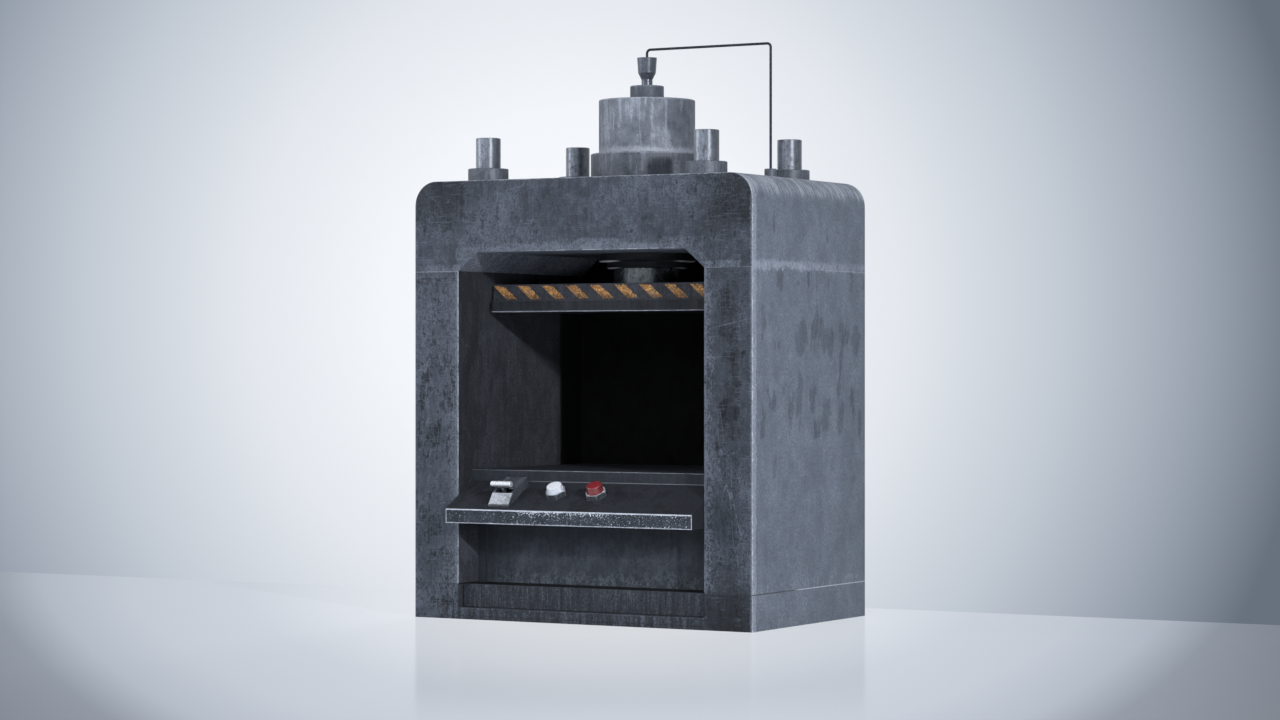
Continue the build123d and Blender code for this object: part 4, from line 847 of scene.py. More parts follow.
@dataclass(frozen=True, kw_only=True)
class PanelPaint(PlainPaint):
    """The front panel's paint: dusty along its foot, with painted shade along its foot, in its corners and
    under the shelf.
    """

    half_width: float
    foot: float
    head: float
    rub_share: float = 0.15

    def extras(self, sheet: Sheet, colour: Wire) -> Wire:
        """Return the colour with smudges, dust at the foot and painted shade at the foot, in the corners
        and under the shelf.

        Args:
            sheet: the material's sheet.
            colour: the paint so far.

        Returns:
            The colour.
        """
        x, _, z = sheet.place
        clouds, grit, mottle = sheet.noises(CLOUDS, GRIT, MOTTLE)
        smudges = (mottle * 0.7 + clouds * 0.5 + grit * 0.3).rise(-0.1, 0.7)
        smudges = smudges * z.fall(self.foot + 0.07, self.foot + 0.13)
        colour = sheet.blend(smudges * 0.15, colour, (76, 83, 94))
        dust = (z - self.foot).fall(0.0, 0.045) * (0.16 + clouds * 0.3 + grit * 0.35)
        colour = sheet.blend(dust, colour, (84, 91, 102))
        # Painted shade: a near black line along the foot, where the panel meets the base.
        gap = (z - self.foot).fall(0.0010, 0.0024)
        colour = sheet.blend(gap * 0.9, colour, (5, 5, 6))
        # Painted shade: darker towards both ends, most at the left end, and under the shelf at the top.
        left_end = (x + self.half_width - clouds * 0.006).fall(0.018, 0.036) * 0.75
        corner = ((self.half_width - abs(x)).fall(0.0, 0.09) * 0.5).larger(left_end)
        shade = (z.rise(self.head - 0.07, self.head) * 0.45).larger(corner)
        return sheet.blend(shade * (0.8 + clouds * 0.2), colour, (22, 25, 30))


@dataclass(frozen=True, kw_only=True)
class BedSteel(PlainPaint):
    """The bed: dark, with a pale line along its top front edge and another at its foot."""

    top: float
    foot: float
    front: float
    rub_share: float = 0.2

    def extras(self, sheet: Sheet, colour: Wire) -> Wire:
        """Return the colour with the two pale lines.

        Args:
            sheet: the material's sheet.
            colour: the paint so far.

        Returns:
            The colour.
        """
        x, y, z = sheet.place
        frays = sheet.noise(FRAYS)
        lip = z.rise(self.top - 0.0022, self.top - 0.0010) * (y - self.front).fall(0.0012, 0.003)
        lip = lip * (0.44 + frays * 0.15) * (0.35 + x.rise(-0.30, -0.12) * 0.65)
        line = z.near(self.foot + 0.0008, 0.0004, 0.0014) * 0.36 * x.rise(-0.20, -0.12)
        return sheet.blend(lip.larger(line), colour, (140, 147, 159))


@dataclass(frozen=True, kw_only=True)
class ShelfPaint(PlainPaint):
    """The control shelf: dark on its slope, chipped to pale primer round its front face."""

    face_low: float
    face_high: float
    half_width: float
    streaks: float = 0.02
    rub_share: float = 0.2
    chipped: Bands = ((-0.075, 0.035, 0.075, 1.0), (0.065, 0.025, 0.055, 1.0), (0.0, 0.02, 0.05, 0.7))
    face_stops: Stops = ((0.0, (16, 19, 23)), (0.5, (38, 43, 51)), (1.0, (76, 83, 95)))

    def chips(self, sheet: Sheet) -> Wire:
        """Return where the face's paint has come off.

        Args:
            sheet: the material's sheet.

        Returns:
            The mask, from 0 to 1.
        """
        x, _, z = sheet.place
        from_top = self.face_high - z
        from_foot = z - self.face_low
        from_end = self.half_width - abs(x)
        frays, bits = sheet.noises(FRAYS, CHIPS)
        ragged = frays * 0.0005 + bits * 0.0003
        top_line = (from_top + ragged).fall(0.0025, 0.0033)
        foot_line = (from_foot + ragged).fall(0.0010, 0.0018)
        end_line = (from_end + ragged).fall(0.0013, 0.0022)
        outline = top_line.larger(foot_line).larger(end_line) * (0.85 + bits * 0.3)
        near_top = from_top.fall(0.003, 0.021) * (0.02 + x.near_any(self.chipped) * 0.76)
        scattered = bits + frays * 0.3 + near_top + from_foot.fall(0.001, 0.006) * 0.4
        scattered = scattered + from_top.fall(0.003, 0.007) * 0.35 - x.fall(-0.22, -0.12) * 0.22
        return outline.larger(scattered.rise(1.18, 1.28))

    def extras(self, sheet: Sheet, colour: Wire) -> Wire:
        """Return the colour with painted shade, dark patches, the chipped face and its pale outline.

        Args:
            sheet: the material's sheet.
            colour: the paint so far.

        Returns:
            The colour.
        """
        x, y, _ = sheet.place
        _, ny, _ = sheet.facing
        clouds, mottle, grit = sheet.noises(CLOUDS, MOTTLE, GRIT)
        # Painted shade towards the right end and the back of the slope, together with dark mottled patches.
        shade = (x.rise(0.20, 0.32) * 0.5).larger(y.rise(-0.23, -0.20) * 0.3) * (0.8 + mottle * 0.3)
        shade = shade.larger((mottle * 0.5 + clouds * 0.6).rise(0.0, 0.4) * 0.6)
        colour = sheet.blend(shade, colour, (12, 13, 16))
        front = (-ny).rise(0.8, 0.95)
        face = sheet.ramp(0.5 + clouds * 0.10 + mottle * 0.06 + grit * 0.08, self.face_stops)
        colour = sheet.blend(front, colour, face)
        return sheet.blend(self.chips(sheet) * front, colour, (182, 189, 202))


@dataclass(frozen=True, kw_only=True)
class ToolPlateSteel(PlainPaint):
    """The tool plate: dark, with a bright line along its lower front edge."""

    low: float
    front: float
    streaks: float = 0.12
    mottle: float = 0.12
    rub_share: float = 0.2

    def extras(self, sheet: Sheet, colour: Wire) -> Wire:
        """Return the colour with the bright lower edge.

        Args:
            sheet: the material's sheet.
            colour: the paint so far.

        Returns:
            The colour.
        """
        _, y, z = sheet.place
        runs, clouds, frays = sheet.noises(RUNS, CLOUDS, FRAYS)
        stains = (runs * 0.6 + clouds * 0.5).rise(0.0, 0.5)
        colour = sheet.blend(stains * 0.5, colour, (20, 22, 26))
        lip = (z - self.low).fall(0.0014, 0.0026) * (y - self.front).fall(0.002, 0.004)
        return sheet.blend(lip * (0.72 + frays * 0.2), colour, (150, 157, 169))


@dataclass(frozen=True)
class CastPaint(Finish):
    """Pale grey paint on the cylinder: whitish runs, dark specks, rubbed rims and painted shade on the side
    towards +X.
    """

    low: float
    high: float
    dark: Shade
    pale: Shade
    runs: float
    rim: float = 0.5
    foot: float = 0.0
    metal: float = 0.10
    roughness: float = 0.55

    def draw(self, sheet: Sheet) -> bpy.types.Material:
        """Draw the look on a material's sheet.

        Args:
            sheet: the material's sheet.

        Returns:
            The material.
        """
        _, _, z = sheet.place
        nx, _, _ = sheet.facing
        frays, clouds, grit = sheet.noises(FRAYS, CLOUDS, GRIT)
        mottle, runs, streaks = sheet.noises(MOTTLE, RUNS, STREAKS)
        tone = 0.5 + runs * 0.06 + mottle * 0.12 + clouds * 0.08 + grit * 0.07
        colour = sheet.ramp(tone, ((0.0, self.dark), (1.0, self.pale)))
        rise = z.rise(self.low, self.low + (self.high - self.low) * 0.45)
        washed = (streaks * 0.5 + runs * 0.35 + mottle * 0.45 + rise * 0.25).rise(0.20, 0.85)
        colour = sheet.blend(washed * self.runs, colour, (178, 185, 198))
        dots = (grit * 0.8 + runs * 0.45 + frays * 0.3).rise(0.55, 0.8)
        colour = sheet.blend(dots * 0.5, colour, (44, 49, 58))
        # Painted shade: the side that faces +X is darker.
        colour = sheet.blend(nx.rise(0.35, 1.0) * 0.30, colour, self.dark)
        crown = (self.high - z + frays * 0.001).fall(0.0015, 0.005) * (0.55 + frays * 0.4)
        colour = sheet.blend(crown * self.rim, colour, (176, 183, 195))
        skirt = (z - self.low + frays * 0.003).fall(0.004, 0.018) * self.foot
        colour = sheet.blend(skirt, colour, (170, 177, 190))
        relief = sheet.relief(0.5 + runs * 0.05 + grit * 0.06 + frays * 0.05, 0.0004, 0.0012)
        return sheet.finish(colour, self.roughness + frays * 0.04, relief, metal=self.metal, gloss=0.3)


class Lay(Enum):
    """Which way a steel surface was worked, and the noise pattern that it leaves."""

    TURNED = Grain((14, 14, 900), 3, 0.6, 8.8)
    DRAWN = Grain((260, 260, 14), 5, 0.7, 8.1)
    GROUND = Grain((300, 300, 300), 4, 0.65, 8.5)


@dataclass(frozen=True)
class Steel(Finish):
    """Bare steel: worked marks, dark handling stains, bright rims, and painted shade and light by the way a
    face turns.
    """

    dark: Shade = (84, 90, 101)
    pale: Shade = (150, 157, 169)
    stain_and_shade: Shade = (40, 44, 51)
    stains: float = 0.35
    lay: Lay = Lay.DRAWN
    metal: float = 0.85
    roughness: float = 0.36
    rim: float = 0.5
    side_shade: float = 0.0
    belly: float = 0.0
    belly_low: float = -0.6
    belly_high: float = 0.1
    top_light: float = 0.0
    gloss: float = 0.5

    def draw(self, sheet: Sheet) -> bpy.types.Material:
        """Draw the look on a material's sheet.

        Args:
            sheet: the material's sheet.

        Returns:
            The material.
        """
        nx, _, nz = sheet.facing
        lines, clouds, frays, grit, mottle = sheet.noises(self.lay.value, CLOUDS, FRAYS, GRIT, MOTTLE)
        tone = 0.5 + lines * 0.08 + clouds * 0.14 + grit * 0.08 + mottle * 0.08
        colour = sheet.ramp(tone, ((0.0, self.dark), (1.0, self.pale)))
        patches = (clouds * 0.5 + frays * 0.5 + grit * 0.2).rise(0.30, 0.55)
        colour = sheet.blend(patches * self.stains, colour, self.stain_and_shade)
        # Painted shade: the side that faces +X and the faces that turn down take the dark stain colour.
        colour = sheet.blend(nx.rise(0.1, 0.8) * self.side_shade, colour, self.stain_and_shade)
        colour = sheet.blend(nz.fall(self.belly_low, self.belly_high) * self.belly, colour, self.stain_and_shade)
        # Painted light: faces that turn up are paler.
        colour = sheet.blend(nz.rise(0.35, 0.6) * self.top_light, colour, (190, 197, 208))
        colour = self.extras(sheet, colour)
        rub = sheet.corners(0.0012) * self.rim * (1 + frays * 0.4)
        colour = sheet.blend(rub, colour, (196, 202, 212))
        roughness = self.roughness + clouds * 0.03 + patches * 0.12
        relief = sheet.relief(0.5 + lines * 0.08 + grit * 0.05, 0.00012, 0.0010)
        return sheet.finish(colour, roughness, relief, metal=self.metal, gloss=self.gloss)


@dataclass(frozen=True, kw_only=True)
class RingSteel(Steel):
    """The rings round the ram: dark, with painted highlights on their lower edges at both sides of the
    view.
    """

    middle_y: float
    outer: float
    inner: float
    outer_low: float
    inner_low: float
    lay: Lay = Lay.TURNED
    metal: float = 0.1
    roughness: float = 0.5
    rim: float = 0.0
    gloss: float = 0.1

    def extras(self, sheet: Sheet, colour: Wire) -> Wire:
        """Return the colour with the two painted highlights on the lower edges.

        Args:
            sheet: the material's sheet.
            colour: the paint so far.

        Returns:
            The colour.
        """
        x, y, z = sheet.place
        # Painted highlights: the lower edges turn near white where they curve away to the left and right of
        # the view.
        turn = math.radians(VIEW_TURN)
        aside = abs(x * math.cos(turn) + (y - self.middle_y) * math.sin(turn))
        outer = z.near(self.outer_low, 0.0009, 0.0019) * aside.rise(self.outer * 0.50, self.outer * 0.85)
        inner = z.near(self.inner_low, 0.0009, 0.0019) * aside.rise(self.inner * 0.60, self.inner * 0.90)
        return sheet.blend(outer.larger(inner), colour, (240, 243, 248))


@dataclass(frozen=True, kw_only=True)
class LeverPlateSteel(Steel):
    """The lever's front plate: pale, with a dark lip along its foot and painted shade on faces that don't
    face up.
    """

    foot: float
    stains: float = 0.45
    lay: Lay = Lay.GROUND
    metal: float = 0.3
    roughness: float = 0.45
    # Painted shade on the faces that turn away from up.
    belly: float = 0.85
    belly_low: float = 0.3
    belly_high: float = 0.6

    def extras(self, sheet: Sheet, colour: Wire) -> Wire:
        """Return the colour with the dark lip."""
        _, _, z = sheet.place
        return sheet.blend(z.fall(self.foot + 0.0040, self.foot + 0.0055) * 0.9, colour, (22, 25, 30))


@dataclass(frozen=True)
class HazardPaint(Finish):
    """The platen: dark paint, with worn amber stripes along its front edge."""

    low: float
    high: float
    left: float
    margin: float = 0.0045
    pitch: float = 0.0663
    stripe: float = 0.0290
    lean: float = 1.15
    first_inset: float = 0.0005
    amber: Stops = ((0.0, (44, 33, 24)), (0.5, (142, 103, 58)), (1.0, (222, 175, 116)))

    def stripes(self, sheet: Sheet) -> Wire:
        """Return where the front edge is striped.

        Args:
            sheet: the material's sheet.

        Returns:
            The mask, from 0 to 1.
        """
        x, _, z = sheet.place
        _, ny, _ = sheet.facing
        frays, chips = sheet.noises(FRAYS, CHIPS)
        along = x - (self.left + self.first_inset) + (z - (self.high - self.margin)) * self.lean
        ragged = frays * 0.0011 + chips * 0.0008
        turn = sheet.math("FLOORED_MODULO", along, self.pitch) + ragged
        band = turn.rise(0.0, 0.0012) * turn.fall(self.stripe, self.stripe + 0.0012)
        band = band * along.rise(-0.002, -0.001)
        half = (self.high - self.low) / 2 - self.margin
        rows = (z + ragged).near((self.low + self.high) / 2, half - 0.0006, half + 0.0006)
        return band * rows * (-ny).rise(0.8, 0.95)

    def draw(self, sheet: Sheet) -> bpy.types.Material:
        """Draw the look on a material's sheet.

        Args:
            sheet: the material's sheet.

        Returns:
            The material.
        """
        _, _, z = sheet.place
        frays, clouds, grit, chips, streaks = sheet.noises(FRAYS, CLOUDS, GRIT, CHIPS, STREAKS)
        tone = 0.5 + clouds * 0.16 + streaks * 0.08 + grit * 0.20
        colour = sheet.ramp(tone, ((0.0, (8, 9, 12)), (1.0, (50, 54, 62))))
        foot = z.fall(self.low + 0.006, self.low + 0.018)
        worn = (chips * 0.6 + clouds * 0.5 + frays * 0.3 + foot * 0.4).rise(0.10, 0.55)
        amber_tone = 0.5 + clouds * 0.22 + grit * 0.14 + frays * 0.08
        amber_tone = amber_tone - z.fall(self.low + 0.008, self.low + 0.02) * 0.16
        amber = sheet.ramp(amber_tone, self.amber)
        colour = sheet.blend(self.stripes(sheet) * (0.92 - worn * 0.72), colour, amber)
        colour = sheet.blend(sheet.corners(0.0014) * (0.25 + frays * 0.2), colour, (112, 119, 131))
        relief = sheet.relief(0.5 + grit * 0.08 + clouds * 0.05, 0.0003, 0.0012)
        return sheet.finish(colour, 0.56 + frays * 0.04, relief, gloss=0.25)


@dataclass(frozen=True)
class Moulded(Finish):
    """Moulded plastic or rubber: slightly mottled, scuffed at its edges, with painted shade on its flanks.
    """

    colour: Shade
    scuffed: Shade
    flank: Shade = (20, 21, 23)
    roughness: float = 0.4
    coat: float = 0.0
    mottle: float = 0.25

    def draw(self, sheet: Sheet) -> bpy.types.Material:
        """Draw the look on a material's sheet.

        Args:
            sheet: the material's sheet.

        Returns:
            The material.
        """
        _, _, nz = sheet.facing
        frays, clouds, chips, pores = sheet.noises(FRAYS, CLOUDS, CHIPS, PORES)
        patches = (chips + clouds * 0.4).rise(-0.2, 0.9)
        # Painted shade: faces that turn away from up take the darker flank colour.
        colour = sheet.blend(nz.fall(0.3, 0.75) * 0.65, self.colour, self.flank)
        colour = sheet.blend(patches * self.mottle, colour, self.scuffed)
        colour = sheet.blend(sheet.corners(0.0010) * (0.45 + frays * 0.3), colour, self.scuffed)
        relief = sheet.relief(0.5 + pores * 0.05 + frays * 0.05, 0.00008, 0.0008)
        return sheet.finish(colour, self.roughness + patches * 0.1, relief, coat=self.coat)


@dataclass
class BodyFrame:
    """The closed frame: base, uprights, crown, bed and the plates between them."""

    outline: Outline

    def build(self) -> None:
        """Dress the frame's solids."""
        BodyPaint("frame_worn_paint", self.outline).cover("base", "left_upright", "right_upright", "crown")
        BackPlatePaint("back_plate_paint", (14, 16, 19), (104, 112, 126)).cover("back_plate")
        PlainPaint("bearer_paint", (12, 14, 17), (46, 51, 59)).cover("left_bearer", "right_bearer")
        low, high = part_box("front_panel")
        PanelPaint(
            "panel_paint", (11, 13, 16), (59, 65, 74), half_width=high.x, foot=low.z, head=high.z
        ).cover("front_panel")
        low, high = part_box("bed")
        _, shelf_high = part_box("control_shelf")
        BedSteel(
            "bed_steel", (6, 7, 9), (48, 53, 61), top=high.z, foot=shelf_high.z, front=low.y
        ).cover("bed")
        Steel("tie_rod_steel").cover("tie_rods", "tie_rod_nuts")


@dataclass
class PressHead:
    """What stands on the crown: the cylinder, its pipework and the four lifting posts."""

    def build(self) -> None:
        """Dress the head's solids."""
        self.paint_cylinder()
        # The posts and the union take painted shade on the side that faces +X.
        Steel(
            "post_steel", (40, 46, 56), (160, 168, 182), stains=0.65, metal=0.5, roughness=0.34, side_shade=0.6
        ).cover("lifting_posts")
        Steel(
            "collar_steel", (32, 37, 44), (100, 107, 120), stains=0.5, metal=0.3, roughness=0.52
        ).cover("post_collars", "crown_fitting")
        Steel(
            "union_steel", (36, 40, 48), (112, 119, 132), lay=Lay.TURNED, metal=0.5, roughness=0.30, side_shade=0.5
        ).cover("pipe_union")
        self.dress_rings()
        dull = {"lay": Lay.GROUND, "metal": 0.0, "roughness": 0.5, "rim": 0.0, "gloss": 0.08}
        pipe = Steel("pipe_steel", (8, 9, 12), (58, 63, 72), **dull)
        pipe.cover("pressure_pipe", "pressure_line", "return_line", "extend_line", "retract_line")
        black = {"stain_and_shade": (20, 22, 25), "lay": Lay.GROUND, "metal": 0.6, "roughness": 0.42, "rim": 0.6}
        oxide = Steel("black_oxide", (26, 28, 32), (66, 70, 78), **black)
        oxide.cover("flange_bolts", "ram_bolts", "tool_plate_bolts", "shelf_screws")
        rubber = Moulded("seal_rubber", (24, 25, 27), (48, 50, 52), roughness=0.6)
        rubber.cover("rod_seal", "piston_seal")

    def paint_cylinder(self) -> None:
        """Paint the barrel, its flange and its port block."""
        _, barrel_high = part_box("cylinder_barrel")
        low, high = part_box("clamp_flange")
        barrel = CastPaint(
            "barrel_paint", high.z, barrel_high.z, (36, 41, 50), (134, 142, 156), runs=0.28, foot=0.4
        )
        barrel.cover("cylinder_barrel")
        flange = CastPaint("flange_paint", low.z, high.z, (0, 0, 2), (110, 117, 131), runs=0.12)
        flange.cover("clamp_flange")
        low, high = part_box("port_block")
        block = CastPaint("block_paint", low.z, high.z, (38, 43, 51), (94, 102, 115), runs=0.08, rim=0.3)
        block.cover("port_block")

    def dress_rings(self) -> None:
        """Dress the gland and the wiper ring, which share a finish."""
        gland_low, gland_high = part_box("gland")
        wiper_low, wiper_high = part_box("wiper_ring")
        rings = RingSteel(
            "ring_steel",
            (8, 9, 10),
            (40, 43, 46),
            middle_y=(gland_low.y + gland_high.y) / 2,
            outer=gland_high.x,
            inner=wiper_high.x,
            outer_low=gland_low.z,
            inner_low=wiper_low.z,
        )
        rings.cover("gland", "wiper_ring")


@dataclass
class RamAndPlaten:
    """The moving head: ram, platen and tool plate."""

    def build(self) -> None:
        """Dress the moving head's solids."""
        ram = Steel("ram_steel", (36, 40, 43), (146, 153, 157), stains=0.4, metal=0.9, roughness=0.28)
        ram.cover("ram", "piston")
        low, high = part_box("platen")
        HazardPaint("platen_paint", low.z, high.z, low.x).cover("platen")
        low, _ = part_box("tool_plate")
        tool = ToolPlateSteel("tool_plate_steel", (0, 0, 1), (42, 46, 52), low=low.z, front=low.y)
        tool.cover("tool_plate")


@dataclass
class ControlShelf:
    """The sloping shelf in front, with its floor plate."""

    face_height: float = 0.033

    def build(self) -> None:
        """Dress the shelf's solids."""
        low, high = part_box("control_shelf")
        shelf = ShelfPaint(
            "shelf_paint",
            (8, 9, 11),
            (54, 58, 66),
            face_low=low.z,
            face_high=low.z + self.face_height,
            half_width=high.x,
        )
        shelf.cover("control_shelf")
        PlainPaint("shelf_floor_paint", (26, 29, 34), (60, 65, 75)).cover("shelf_floor")


@dataclass
class LeverSet:
    """The valve lever: its housing, worn front plate, stem, T grip and the valve under it."""

    def build(self) -> None:
        """Dress the lever's solids."""
        housing = PlainPaint(
            "housing_paint", (21, 24, 28), (78, 84, 94), mottle=0.14, rub_share=0.6, rub=(150, 157, 168)
        )
        housing.cover("lever_housing")
        low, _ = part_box("lever_front_plate")
        LeverPlateSteel("worn_plate", (50, 56, 67), (220, 226, 236), foot=low.z).cover("lever_front_plate")
        shiny = {"lay": Lay.TURNED, "metal": 0.7, "roughness": 0.22}
        # The grip takes painted shade on its underside.
        grip = Steel("polished_steel", (200, 206, 214), (250, 251, 253), stains=0.1, belly=0.85, **shiny)
        grip.cover("lever_grip")
        stem = Steel("stem_steel", (70, 76, 86), (140, 147, 158), metal=0.9, roughness=0.3)
        stem.cover("lever_stem", "lever_pin", "valve_spool")
        iron = PlainPaint("cast_iron", (40, 44, 48), (84, 90, 96), streaks=0.0, mottle=0.2)
        iron.cover("valve_body", "pump_body", "motor_casing")


class CapColour(Enum):
    """The two palm buttons' looks: stem of the names, cap, scuffs, flank for its painted shade, roughness
    and coat.
    """

    WHITE = ("start_button", (222, 227, 236), (168, 174, 186), (150, 157, 170), 0.42, 0.0)
    RED = ("stop_button", (120, 30, 37), (158, 84, 88), (62, 15, 19), 0.30, 0.5)


@dataclass
class PalmButton:
    """One palm button: cap, hexagonal bezel, barrel, spring and contact block."""

    colour: CapColour

    def build(self) -> None:
        """Dress the button's solids."""
        stem, cap, scuffed, flank, roughness, coat = self.colour.value
        Moulded(f"{stem}_plastic", cap, scuffed, flank, roughness, coat).cover(f"{stem}_cap")
        ground = {"lay": Lay.GROUND, "metal": 0.4, "roughness": 0.30}
        # The bezel's faces that turn up are painted paler: painted light.
        bezel = Steel(
            f"{stem}_bezel_steel", (8, 10, 13), (92, 98, 108), stains=0.6, rim=1.6, top_light=0.9, **ground
        )
        bezel.cover(f"{stem}_bezel")
        black = Moulded(f"{stem}_black", (22, 23, 25), (52, 54, 58), roughness=0.5)
        black.cover(f"{stem}_barrel", f"{stem}_contact_block")
        spring = Steel(
            f"{stem}_spring_steel", (92, 97, 106), (168, 174, 184), lay=Lay.GROUND, metal=1.0, roughness=0.3
        )
        spring.cover(f"{stem}_spring")


@dataclass
class PowerPack:
    """The tank, motor and pump behind the front panel."""

    def build(self) -> None:
        """Dress the power pack's solids."""
        PlainPaint("tank_paint", (54, 60, 70), (104, 112, 126)).cover("oil_tank", "tank_lid")
        Steel(
            "rotor_steel", (90, 94, 100), (160, 165, 172), lay=Lay.TURNED, metal=0.9, roughness=0.35
        ).cover("motor_rotor", "pump_rotor")


@dataclass(frozen=True)
class Lamp:
    """One soft lamp that faces the press.

    Its azimuth is in degrees from the front towards +X, and its height in degrees above
    the aim. Its light is how bright it makes white paper that faces it, where 1 is white.
    Its size is width and height. Its spread is how many degrees its light fans out.
    """

    name: str
    azimuth: float
    height: float
    light: float
    size: tuple[float, float]
    distance: float = 9.0
    mirrored: bool = False
    spread: float = 180.0

    def hang(self, aim: Vector) -> None:
        """Make the lamp.

        Args:
            aim: the point that it faces.
        """
        data = bpy.data.lights.new(self.name, "AREA")
        data.shape = "RECTANGLE"
        data.size, data.size_y = self.size
        data.spread = math.radians(self.spread)
        half = data.spread / 2
        gathered = math.tan(half) / (math.tan(half) - half) if self.spread < 180 else 1.0
        data.energy = self.light * (math.pi * self.distance) ** 2 / gathered
        lamp = bpy.data.objects.new(self.name, data)
        side, up = math.radians(self.azimuth), math.radians(self.height)
        towards = Vector((math.sin(side) * math.cos(up), -math.cos(side) * math.cos(up), math.sin(up)))
        lamp.location = aim + towards * self.distance
        lamp.rotation_euler = towards.to_track_quat("Z", "Y").to_euler()
        lamp.visible_camera = False
        lamp.visible_glossy = self.mirrored
        bpy.context.scene.collection.objects.link(lamp)


@dataclass
class Studio:
    """The camera, the lamps, the pale backdrop and the floor.

    The floor's painted pool of light reaches floor_radius to each side of floor_middle, and is wider by
    floor_flare for each metre towards the camera. Its depth counts from floor_near in front.
    A fade is where it starts and where it ends.
    """

    camera_place: tuple[float, float, float] = (3.9224, -6.7195, 0.6045)
    lens: float = 93.03
    sensor: float = 36.0
    aim: tuple[float, float, float] = (0.0, 0.0, 0.62)
    lamps: tuple[Lamp, ...] = (
        Lamp("key", 55.0, 15.0, 0.74, (0.26, 0.50), mirrored=True),
        Lamp("fill", -59.0, 16.0, 0.26, (2.0, 2.4), mirrored=True),
        Lamp("front", 6.0, 20.0, 0.44, (4.0, 3.0)),
        Lamp("bounce", 33.0, -4.0, 0.35, (1.2, 0.5), distance=5.0, spread=32.0),
        Lamp("rear", 196.0, 28.0, 0.55, (3.0, 3.0)),
    )
    ambient: float = 0.10
    glow_left: float = 1.12
    glow_up: float = 1.05
    glow_reach: float = 34.0
    glow_stops: Stops = (
        (0.0, (250, 252, 254)), (0.095, (243, 246, 251)), (0.165, (228, 232, 238)),
        (0.25, (193, 201, 211)), (0.322, (150, 159, 172)), (0.372, (104, 113, 126)),
        (0.392, (104, 113, 126)), (0.45, (226, 231, 239)), (1.0, (238, 242, 248)),
    )
    floor_stops: Stops = (
        (0.20, (242, 245, 250)), (0.36, (226, 231, 239)), (0.48, (206, 213, 223)),
        (0.62, (196, 204, 215)), (0.73, (174, 183, 196)), (0.81, (124, 133, 146)),
        (1.0, (80, 89, 102)),
    )
    floor_plain: Shade = (226, 231, 239)
    floor_matt: Shade = (214, 219, 227)
    floor_middle: float = -0.05
    floor_flare: float = 0.14
    floor_near: float = 0.5
    floor_squash: float = 0.35
    floor_radius: float = 1.8
    floor_reach: float = 40.0
    floor_edge: float = 0.53
    floor_fall: float = 0.10
    floor_glow: float = 0.80
    floor_gloss: float = 0.15
    floor_roughness: float = 0.12
    front_fade: tuple[float, float] = (2.6, 3.6)
    side_fade: tuple[float, float] = (0.1, 0.6)
    back_fade: float = 0.3
    gloss_fade: tuple[float, float] = (1.6, 2.5)

    def build(self) -> None:
        """Make the studio."""
        self.add_camera()
        for lamp in self.lamps:
            lamp.hang(Vector(self.aim))
        self.light_world()
        self.lay_floor()
        bpy.context.scene.view_settings.view_transform = "Standard"

    def add_camera(self) -> None:
        """Make the camera and make it the scene's."""
        data = bpy.data.cameras.new("camera")
        data.lens = self.lens
        data.sensor_width = self.sensor
        camera = bpy.data.objects.new("camera", data)
        camera.location = self.camera_place
        camera.rotation_euler = (math.pi / 2, 0.0, math.radians(VIEW_TURN))
        bpy.context.scene.collection.objects.link(camera)
        bpy.context.scene.camera = camera

    def light_world(self) -> None:
        """Give the world a weak light, and a pale backdrop where it is seen or reflected."""
        world = bpy.data.worlds.new("backdrop")
        bpy.context.scene.world = world
        sheet = Sheet(world)
        turn = math.radians(VIEW_TURN + self.glow_left)
        middle = Vector((-math.sin(turn), math.cos(turn), math.radians(self.glow_up))).normalized()
        agreement = sheet.dot(sheet.coordinates.outputs["Generated"], middle)
        away = sheet.math("ARCCOSINE", agreement.smaller(0.99999)) * (180 / math.pi / self.glow_reach)
        # Painted light: the backdrop is palest round the view's middle, dark in a ring towards the corners,
        # and pale beyond.
        colour = sheet.ramp(away, self.glow_stops)
        strength = sheet.seen() * (1 - self.ambient) + self.ambient
        light = sheet.node("ShaderNodeBackground", {}, {"Color": colour, "Strength": strength})
        sheet.node("ShaderNodeOutputWorld", {}, {"Surface": light.outputs[0]})

    def lay_floor(self) -> None:
        """Make the floor: level round the press, and sloping away behind it."""
        reach = self.floor_reach
        mesh = bpy.data.meshes.new("floor")
        shape = bmesh.new()
        bmesh.ops.create_grid(shape, x_segments=1, y_segments=1, size=reach)
        bmesh.ops.translate(shape, verts=shape.verts, vec=(0.0, self.floor_edge - reach, 0.0))
        limit = self.floor_edge - 0.001
        back = [edge for edge in shape.edges if all(vert.co.y > limit for vert in edge.verts)]
        added = bmesh.ops.extrude_edge_only(shape, edges=back)["geom"]
        moved = [piece for piece in added if isinstance(piece, bmesh.types.BMVert)]
        bmesh.ops.translate(shape, verts=moved, vec=(0.0, reach, -reach * self.floor_fall))
        bmesh.ops.recalc_face_normals(shape, faces=shape.faces)
        shape.to_mesh(mesh)
        shape.free()
        floor = bpy.data.objects.new("floor", mesh)
        bpy.context.scene.collection.objects.link(floor)
        mesh.materials.append(self.floor_finish())

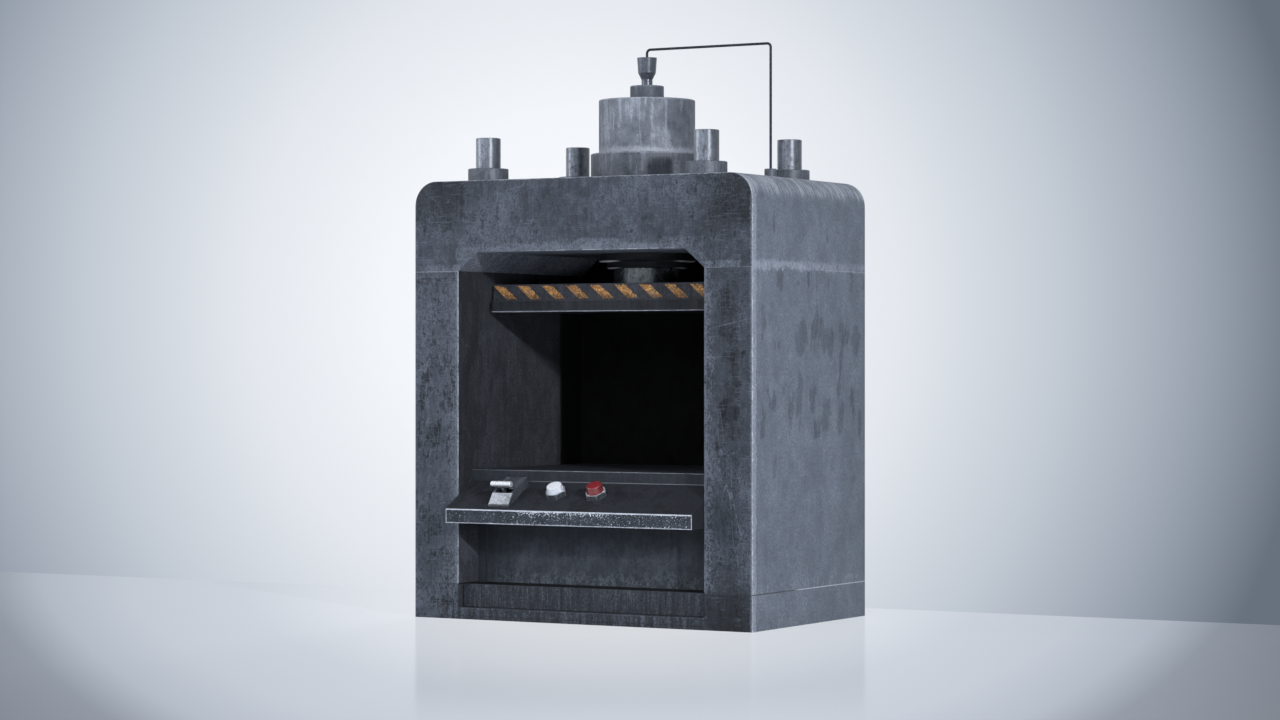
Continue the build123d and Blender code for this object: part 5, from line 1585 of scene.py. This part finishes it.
    def floor_finish(self) -> bpy.types.Material:
        """Return the floor's material: a painted pool of light, a little glossy, and plain outside the
        view.

        Returns:
            The material.
        """
        sheet = Sheet.new("floor_finish")
        x, y, _ = sheet.place
        turn = math.radians(VIEW_TURN)
        forward = Vector((-math.sin(turn), math.cos(turn), 0.0))
        near = x * -forward.x - y * forward.y
        aside = x * forward.y - y * forward.x
        side = aside * (near * self.floor_flare + 1.0) - self.floor_middle
        depth = (near + self.floor_near) * self.floor_squash
        away = sheet.math("SQRT", side * side + depth * depth) / self.floor_radius
        # Painted light: the floor's colour is a pool, pale in the middle and darker far out.
        colour = sheet.ramp(away, self.floor_stops)
        camera_away = -Vector(self.camera_place).dot(forward)
        beside = abs(aside) - (camera_away - near) * (self.sensor / 2 / self.lens)
        behind = y.rise(self.floor_edge, self.floor_edge + self.back_fade)
        unseen = near.rise(*self.front_fade).larger(behind).larger(beside.rise(*self.side_fade))
        colour = sheet.blend(unseen, colour, self.floor_plain)
        matt = sheet.node("ShaderNodeBsdfDiffuse", {}, {"Color": tint(self.floor_matt)})
        glow = sheet.node("ShaderNodeEmission", {}, {"Color": colour, "Strength": 1.0})
        shine = sheet.node(
            "ShaderNodeBsdfGlossy", {}, {"Roughness": self.floor_roughness, "Color": (1.0, 1.0, 1.0, 1.0)}
        )
        gloss = sheet.math("SQRT", x * x + y * y).fall(*self.gloss_fade) * self.floor_gloss
        lit = sheet.mix(sheet.seen() * self.floor_glow, matt, glow)
        mixed = sheet.mix(gloss, lit, shine)
        sheet.node("ShaderNodeOutputMaterial", {}, {"Surface": mixed.outputs[0]})
        return sheet.owner


def main() -> None:
    """Dress each sub-assembly and set up the studio."""
    logging.basicConfig(level=logging.INFO, format="%(message)s")
    parts = [
        BodyFrame(Outline.from_frame()),
        PressHead(),
        RamAndPlaten(),
        ControlShelf(),
        LeverSet(),
        PalmButton(CapColour.WHITE),
        PalmButton(CapColour.RED),
        PowerPack(),
        Studio(),
    ]
    for part in parts:
        part.build()
        log.info("built %s", type(part).__name__)


if __name__ == "__main__":
    main()
